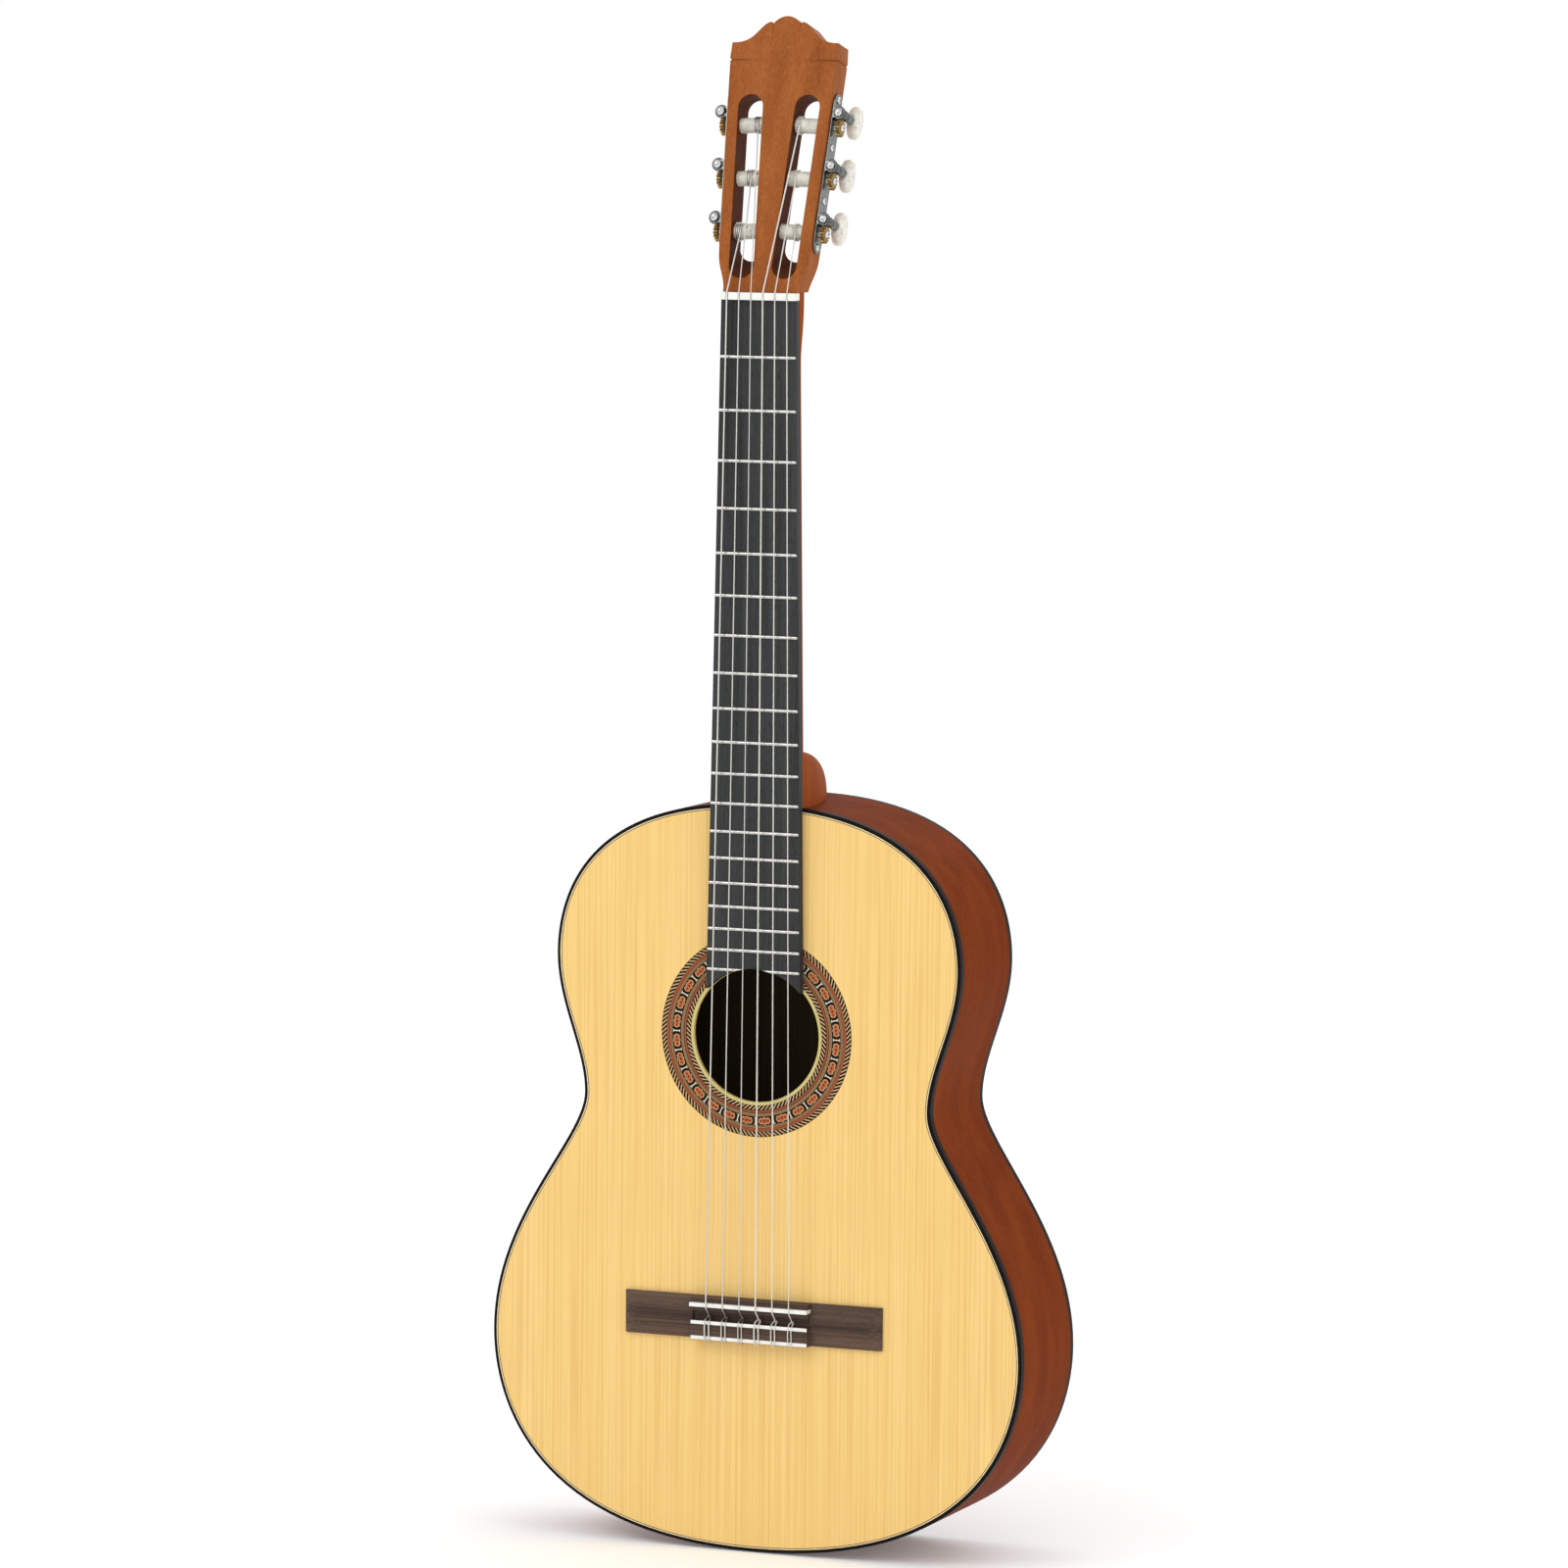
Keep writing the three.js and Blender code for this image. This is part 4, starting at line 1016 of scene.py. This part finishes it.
head = drawn(head_knots(), 10, 0, place=flat)
edit(head, "VERT")
bpy.ops.mesh.remove_doubles(threshold=0.00002)
bpy.ops.mesh.edge_face_add()
extruded(head, (0, HEAD_THICK * mm, 0))
tidy(head)
edit(head)
bpy.ops.mesh.bisect(plane_co=(0, 0, 0.05 * mm), plane_no=(0, -math.sin(HEAD_TILT), math.cos(HEAD_TILT)),
                    use_fill=True, clear_inner=True)
bpy.ops.object.mode_set(mode="OBJECT")
print("crown width:", round(head.dimensions.x / mm, 1), "mm")

# %% [markdown]
# A slot has round ends, so its cutter starts as a circle whose upper half is moved up. A second,
# short one is extruded on a slant, which leaves the ramp where the strings dive into the slot. The
# bores take the rollers, and a shallow groove is carved in from each edge under the crown. The walls
# of the slots are bare wood and get a second, much darker material, which paints in the shade there.

# %% Slots, bores and grooves
SLOT_X, SLOT_WIDE, SLOT_LOW, SLOT_HIGH, SLOT_RAMP = 14.1, 17, 24, 130.3, 15
RUNGS = (14, 49, 84)  # heights of the three rollers of a side, from the low end of the edge
ROLLER_DEPTH = 9


def slot_block(low, high, start, reach):
    bpy.ops.object.select_all(action="DESELECT")
    radius = SLOT_WIDE / 2
    bpy.ops.mesh.primitive_circle_add(vertices=48, radius=radius * mm, fill_type="NGON",
                                      location=flat(0, start, low + radius), rotation=(math.pi / 2, 0, 0))
    block = bpy.context.object
    bpy.ops.object.transform_apply(location=True, rotation=True)
    pick(block, lambda v: v.co.z > (low + radius - 0.01) * mm, "VERT")
    bpy.ops.transform.translate(value=flat(0, 0, high - low - SLOT_WIDE))
    bpy.ops.mesh.select_all(action="SELECT")
    extruded(block, flat(*reach))
    tidy(block)
    return block


def edge_frame(side):
    """Runs along the head's edge: x out of the edge, y into the head, z up the edge."""
    corner = Matrix.Translation(flat(side * EDGE_LOW[0], 0, EDGE_LOW[1]))
    return corner @ Matrix.Rotation(side * LEAN, 4, "Y")


for side in (1, -1):
    slanted = Matrix.Translation(flat(side * SLOT_X, 0, 0)) @ Matrix.Rotation(side * LEAN, 4, "Y")
    for block in (slot_block(SLOT_LOW, SLOT_HIGH, 28, (0, -38, 0)),
                  slot_block(SLOT_LOW, 60, HEAD_THICK, (0, -28, -28 * SLOT_RAMP / HEAD_THICK))):
        block.matrix_world = slanted
        cut(head, block)
    for rung in RUNGS:
        bpy.ops.object.select_all(action="DESELECT")
        bpy.ops.mesh.primitive_cylinder_add(vertices=48, radius=5.3 * mm, depth=38.5 * mm)
        bore = bpy.context.object
        bore.matrix_world = (edge_frame(side) @ Matrix.Translation(flat(side * -9.25, ROLLER_DEPTH, rung))
                             @ Matrix.Rotation(math.pi / 2, 4, "Y"))
        cut(head, bore)
    bpy.ops.object.select_all(action="DESELECT")
    bpy.ops.mesh.primitive_cube_add(size=1, location=flat(side * 38, -0.1, 152.6), scale=flat(60, 2, 1.4),
                                    rotation=(0, 0, side * 0.035))
    cut(head, bpy.context.object)
    bpy.ops.object.select_all(action="DESELECT")
    bpy.ops.mesh.primitive_cube_add(size=1, location=flat(side * 9.4, -0.35, 172), scale=flat(0.7, 1.2, 26),
                                    rotation=(-0.03, 0, 0))
    cut(head, bpy.context.object)


def sharp_edges(piece, where, angle=30):
    """Edges with both ends in the place asked for, where two faces meet at a sharp angle."""
    faces = {}
    for face in piece.data.polygons:
        for key in face.edge_keys:
            faces.setdefault(key, []).append(face.normal)
    points = piece.data.vertices
    chosen = set()
    for edge in piece.data.edges:
        sides = faces.get(tuple(sorted(edge.vertices)), [])
        if len(sides) == 2 and sides[0].angle(sides[1], 0) > math.radians(angle):
            if all(where(points[v].co) for v in edge.vertices):
                chosen.add(edge.index)
    return chosen


tidy(head)
for width, low, high in ((0.45, 1, 150), (0.15, 155, 190)):
    front_edges = sharp_edges(head, lambda place: abs(place.y) < 0.00001 and low * mm < place.z < high * mm)
    pick(head, lambda edge: edge.index in front_edges, "EDGE")
    bpy.ops.mesh.bevel(offset=width * mm, segments=3)
    bpy.ops.object.mode_set(mode="OBJECT")
head.matrix_world = head_frame
done(head, "headstock_board", head_wood, instead_of=["headstock"], angle=35)
# The second material paints the shade on the walls of the slots.
head.data.materials.append(slot_wood_painted_shade)
into_head = head_frame.inverted()
through = head_frame.to_3x3() @ Vector((0, 1, 0))
for face in head.data.polygons:
    place = into_head @ face.center / mm
    if abs(face.normal.dot(through)) < 0.68 and place.z < 131 and abs(place.x) < 23.5 + 0.046 * place.z:
        face.material_index = 1
print("headstock:", len(head.data.polygons), "faces")

# %% [markdown]
# ## Tuner plates
# Each side has one long nickel plate, screwed to the edge of the head, with two ears that hold
# each worm. The plate's frame node is copied and softened. The round bearings on the ears and the
# screw heads are modelled once and copied, because all of them came out of the same box.

# %% Tuner plates
THREE = {1: (1, 2, 3), -1: (6, 5, 4)}  # the strings of each side, from the nut upwards
WORM_OUT, WORM_ABOVE = 5.1, 8.6
PLATE_FACE = 1.3


def turned(profile, place, axis="Y", vertices=40):
    """A turned part: a disc is extruded and scaled from ring to ring, as (radius, distance) says."""
    bpy.ops.object.select_all(action="DESELECT")
    start_radius, start = profile[0]
    bpy.ops.mesh.primitive_circle_add(vertices=vertices, radius=start_radius * mm, fill_type="NGON")
    piece = bpy.context.object
    edit(piece)
    radius, height = start_radius, start
    for new_radius, new_height in profile[1:]:
        bpy.ops.mesh.extrude_region_move(TRANSFORM_OT_translate={"value": (0, 0, (new_height - height) * mm)})
        middle = (0, 0, (new_height - start) * mm)
        bpy.ops.transform.resize(value=(new_radius / radius, new_radius / radius, 1), center_override=middle)
        radius, height = new_radius, new_height
    bpy.ops.object.mode_set(mode="OBJECT")
    turn = {"Y": Matrix.Rotation(-math.pi / 2, 4, "X"), "X": Matrix.Rotation(math.pi / 2, 4, "Y")}[axis]
    piece.matrix_world = Matrix.Translation(flat(*place)) @ turn @ Matrix.Translation((0, 0, start * mm))
    bpy.ops.object.transform_apply(location=True, rotation=True)
    return piece


def screw_head(radius, high, slots=2):
    """A domed screw head that stands on the plane x = 0, with a cut slot or a cross."""
    dome = [(radius * 0.94, -0.1), (radius, 0.12 * high), (radius * 0.93, 0.5 * high),
            (radius * 0.74, 0.8 * high), (radius * 0.42, 0.96 * high), (radius * 0.1, high)]
    screw = turned(dome, (0, 0, 0), "X", 32)
    for turn in range(slots):
        bpy.ops.object.select_all(action="DESELECT")
        bpy.ops.mesh.primitive_cube_add(size=1, location=flat(high, 0, 0), rotation=(0.5 + turn * math.pi / 2, 0, 0),
                                        scale=flat(high * 1.1, radius * 1.25, radius * 0.26))
        cut(screw, bpy.context.object)
    return screw


def mirrored(side):
    return Matrix.Diagonal((side, 1, 1, 1))


bearing_ring = turned([(1.7, 2.5), (3.9, 2.5), (4.4, 2.9), (4.4, 3.5), (4.0, 3.85), (1.7, 3.85)], (0, 0, 0), "Y")
plate_screw = screw_head(2.5, 1.1)
for side, name in ((1, "treble"), (-1, "bass")):
    onto_edge = head_frame @ edge_frame(side) @ mirrored(side)
    plate = refined(name + "_tuner_plate", 0.22)
    done(plate, name + "_plate", nickel, instead_of=[name + "_tuner_plate"])
    for i, up in enumerate((5.2, 35.5, 70.5, 101.8)):
        screw = copy_of(plate_screw, "screw")
        screw.matrix_world = onto_edge @ Matrix.Translation(flat(PLATE_FACE, ROLLER_DEPTH, up))
        done(screw, f"{name}_plate_screw_{i + 1}", bright_nickel)
    for rung, number in zip(RUNGS, THREE[side]):
        ring = copy_of(bearing_ring, "ring")
        ring.matrix_world = onto_edge @ Matrix.Translation(flat(WORM_OUT, 0, rung + WORM_ABOVE))
        # The bearing rings get the darkest nickel, a painted dark reflection.
        done(ring, f"bearing_{number}", dark_nickel)

# %% [markdown]
# ## Worms, gears and buttons
# A worm's thread has to fit its gear's teeth, so both are copies of their frame nodes, the gear
# with a fine bevel. The worm gets a slot in its domed cap, the gear a screw in its middle. The button
# is an oval of pearloid: its outline is drawn, thickened, and rounded so far that only a narrow band
# of its rim and a small flat on each face are left.

# %% Worms and gears
gear_screw = screw_head(2.3, 1.2, 1)
for side in (1, -1):
    onto_edge = head_frame @ edge_frame(side) @ mirrored(side)
    for rung, number in zip(RUNGS, THREE[side]):
        shaft, barrel = f"button_shaft_{number}", f"string_roller_{number}"
        worm = refined(f"worm_{number}", 0)
        cap = turned([(2.62, 2.35), (2.62, 1.5), (2.45, 0.95), (1.9, 0.5), (1.0, 0.25), (0.2, 0.2)], (0, 0, 0), "Y")
        bpy.ops.object.select_all(action="DESELECT")
        bpy.ops.mesh.primitive_cube_add(size=1, location=(0, 0, 0), rotation=(0, 0.9, 0), scale=flat(7, 1.6, 0.7))
        cut(cap, bpy.context.object)
        cap.matrix_world = onto_edge @ Matrix.Translation(flat(WORM_OUT, 0, rung + WORM_ABOVE))
        collar = turned([(1.5, 17.4), (2.3, 17.6), (2.9, 18.3), (2.9, 19.0), (2.2, 19.7), (1.9, 20.3), (2.4, 20.9),
                         (3.1, 21.6), (3.4, 22.6), (3.1, 23.6), (2.6, 24.4)], (0, 0, 0), "Y")
        collar.matrix_world = onto_edge @ Matrix.Translation(flat(WORM_OUT, 0, rung + WORM_ABOVE))
        done(worm, f"worm_thread_{number}", nickel, shaft, instead_of=[f"worm_{number}"])
        done(cap, f"worm_cap_{number}", bright_nickel, shaft)
        done(collar, f"shaft_collar_{number}", nickel, shaft)
        gear = refined(f"gear_{number}", 0.15)
        done(gear, f"gear_wheel_{number}", brass, barrel, instead_of=[f"gear_{number}"])
        screw = copy_of(gear_screw, "gear_screw")
        screw.matrix_world = onto_edge @ Matrix.Translation(flat(6.4, ROLLER_DEPTH, rung))
        done(screw, f"gear_screw_{number}", bright_nickel, barrel)
print("worms and gears:", len(THREE[1]) + len(THREE[-1]))

# %% Buttons
BUTTON_FROM, BUTTON_LONG, BUTTON_TALL, BUTTON_THICK = 24.5, 15, 22, 7.4


def oval_button():
    half = BUTTON_TALL / 2
    knots = [((4.2, 0), (-4.2, 0), (6.5, 1.2)), ((half, 7.6), (half, 3.6), (half, 11.6)),
             ((0, BUTTON_LONG), (6.6, BUTTON_LONG), (-6.6, BUTTON_LONG)),
             ((-half, 7.6), (-half, 11.6), (-half, 3.6)), ((-4.2, 0), (-6.5, 1.2), (-4.2, 0))]
    button = drawn(knots, 14, -BUTTON_THICK / 2, place=lambda a, d, b: flat(d, b, a))
    edit(button, "EDGE")
    bpy.ops.mesh.remove_doubles(threshold=0.00002)
    bpy.ops.mesh.edge_face_add()
    extruded(button, flat(BUTTON_THICK, 0, 0))
    tidy(button)
    modified(button, "BEVEL", width=3.2 * mm, segments=5, limit_method="ANGLE", angle_limit=math.radians(40),
             use_clamp_overlap=False)
    return button


button_form = oval_button()
for side in (1, -1):
    onto_edge = head_frame @ edge_frame(side) @ mirrored(side)
    for rung, number in zip(RUNGS, THREE[side]):
        button = copy_of(button_form, "button")
        button.matrix_world = onto_edge @ Matrix.Translation(flat(WORM_OUT, BUTTON_FROM, rung + WORM_ABOVE))
        done(button, f"pearl_button_{number}", pearloid, f"button_shaft_{number}",
             instead_of=[f"button_{number}"])
print("button faces:", len(button_form.data.polygons))

# %% [markdown]
# ## Rollers
# A roller is a white plastic barrel on a steel spindle, with a small hole through it for the
# string. It is turned from a disc, and a thin cylinder makes the hole where its string ends.

# %% Rollers
STRING_SLOTS = (19, 15.5, 14.5)  # distance of each string from the middle where it meets its roller
roller_blank = turned([(4.6, -28.5), (5, -28.1), (5, -0.7), (4.6, -0.3), (2, -0.3), (2, 3.7)], (0, 0, 0), "X", 64)


def in_edge_frame(side, x, y, z):
    """A place given in the head's own plane, as seen from the edge of one side."""
    return (edge_frame(side) @ mirrored(side)).inverted() @ flat(side * x, y, z)


for side in (1, -1):
    onto_edge = head_frame @ edge_frame(side) @ mirrored(side)
    for rung, number, across in zip(RUNGS, THREE[side], STRING_SLOTS):
        roller = copy_of(roller_blank, "roller")
        out = in_edge_frame(side, across, 0, EDGE_LOW[1] + rung).x / mm
        for hole_at in ((out - 2.2,) if side > 0 else (out - 3.6,)):
            bpy.ops.object.select_all(action="DESELECT")
            bpy.ops.mesh.primitive_cylinder_add(vertices=20, radius=0.9 * mm, depth=12 * mm,
                                                location=flat(hole_at, 0, 0), rotation=(1.2, 0, 0))
            cut(roller, bpy.context.object)
        roller.matrix_world = onto_edge @ Matrix.Translation(flat(0, ROLLER_DEPTH, rung))
        done(roller, f"roller_barrel_{number}", roller_plastic, f"string_roller_{number}",
             instead_of=[f"roller_{number}"])

# %% [markdown]
# ## Strings
# A string is a line with thickness, so a curve with a round bevel makes it: straight handles where
# it runs from roller to nut to saddle, and automatic ones in the knot. At the bridge it goes
# through the tie block, back over it, under itself, and is tucked in behind, which leaves two
# strands side by side on top.

# %% Strings
NUT_TOP, SADDLE_TOP, NUT_SPREAD = 8.6, 11.4, 41.5
KNOT_GAP = 0.1


def strung(points, diameter, straight):
    """A string through the points, with straight handles at the first ones of them."""
    bpy.ops.object.select_all(action="DESELECT")
    bpy.ops.curve.primitive_bezier_curve_add()
    piece = bpy.context.object
    spline = piece.data.splines[0]
    spline.bezier_points.add(len(points) - 2)
    for i, (point, place) in enumerate(zip(spline.bezier_points, points)):
        point.co = place
        point.handle_left_type = point.handle_right_type = "VECTOR" if i < straight else "AUTO"
    piece.data.resolution_u = 6
    piece.data.bevel_depth = diameter / 2 * mm
    piece.data.bevel_resolution = 4
    piece.data.use_fill_caps = True
    bpy.ops.object.convert(target="MESH")
    return bpy.context.object


for place, (number, diameter) in enumerate(STRINGS.items()):
    side = 1 if number <= 3 else -1
    rung, across = [(r, a) for r, a, n in zip(RUNGS, STRING_SLOTS, THREE[side]) if n == number][0]
    share = place / 5 - 0.5
    clear = diameter / 2 + KNOT_GAP
    nut_x, x = share * NUT_SPREAD, share * SADDLE_SPREAD
    over = -BRIDGE_TOP - clear - 0.35
    apart = diameter * 0.9 + 0.55

    def tied(aside, depth, from_nut):
        return at(x + aside * apart, depth, NUT_Z - from_nut)

    in_front = ROLLER_DEPTH - 5 - clear - 0.05
    run = [head_frame @ flat(side * across, in_front, EDGE_LOW[1] + rung),
           at(nut_x, -NUT_TOP - clear, NUT_Z + 4.8), at(nut_x, -NUT_TOP - clear, NUT_Z + 0.2),
           tied(0, -SADDLE_TOP - clear, 652.2), tied(0, -SADDLE_TOP - clear, 654.2)]
    knot = [tied(0, -TIE_HOLE - 0.1, 663), tied(0, -TIE_HOLE, 675.6), tied(0.3, -TIE_HOLE - 1.6, 677.2),
            tied(0.7, over + 1.3, 677.0), tied(1, over, 675.4), tied(1, over, 670), tied(1, over, 664.6),
            tied(1, -7.6, 662.4), tied(0.6, -5.0, 661.2), tied(-0.2, -4.7, 660.6), tied(-0.9, -6.2, 661.4),
            tied(-1, over + 0.8, 663.4), tied(-1, over, 666), tied(-1, over, 672), tied(-0.8, over, 675.6),
            tied(-0.5, over + 1.6, 677.2)]
    string = strung(run + knot, diameter, len(run))
    finish_of = nylon if number <= 3 else wound
    done(string, f"strung_{number}", finish_of, instead_of=[f"string_{number}"],
         angle=60)
print("strings:", len(STRINGS), "with", len(string.data.polygons), "faces each")

# %% [markdown]
# ## Windings on the rollers
# The loose end of each string is wound round its roller. A Screw modifier turns a small circle, the
# string's section, round the roller while it moves along, as the player's hand did. The windings
# turn with their roller.

# %% Windings
WOUND_TURNS = {6: -3.6, 5: -3.2, 4: -3.6, 3: 2.3, 2: 2.3, 1: 2.3}


def winding(diameter, turns_round, towards):
    """A coil about the X axis that starts in front of the roller and runs inwards or outwards."""
    radius = 5 + diameter / 2 + 0.06
    bpy.ops.object.select_all(action="DESELECT")
    bpy.ops.mesh.primitive_circle_add(vertices=10, radius=diameter / 2 * mm, location=flat(0, -radius, 0),
                                      rotation=(0, 0, 0))
    coil = bpy.context.object
    bpy.ops.object.transform_apply(location=True)
    pitch = diameter * 1.3 * towards
    modified(coil, "SCREW", axis="X", angle=-2 * math.pi * turns_round, steps=int(turns_round * 28),
             render_steps=int(turns_round * 28), screw_offset=pitch * turns_round * mm, use_merge_vertices=False)
    edit(coil, "EDGE")
    bpy.ops.mesh.fill_holes(sides=0)
    tidy(coil)
    return coil


for number, turns_round in WOUND_TURNS.items():
    side = 1 if number <= 3 else -1
    rung, across = [(r, a) for r, a, n in zip(RUNGS, STRING_SLOTS, THREE[side]) if n == number][0]
    coil = winding(STRINGS[number], abs(turns_round), 1 if turns_round < 0 else -1)
    start = in_edge_frame(side, across, 0, EDGE_LOW[1] + rung)
    coil.matrix_world = (head_frame @ edge_frame(side) @ mirrored(side)
                         @ Matrix.Translation(Vector((start.x, ROLLER_DEPTH * mm, rung * mm))))
    done(coil, f"winding_{number}", nylon if number <= 3 else wound, f"string_roller_{number}",
         angle=60)
print("windings:", WOUND_TURNS)

# %% [markdown]
# ## Clearing the bench
# The forms that were only there to be copied are removed, so that every mesh left is a real piece
# on its own body.

# %% Clear the bench
for form in (bearing_ring, plate_screw, gear_screw, button_form, roller_blank):
    bpy.data.objects.remove(form)
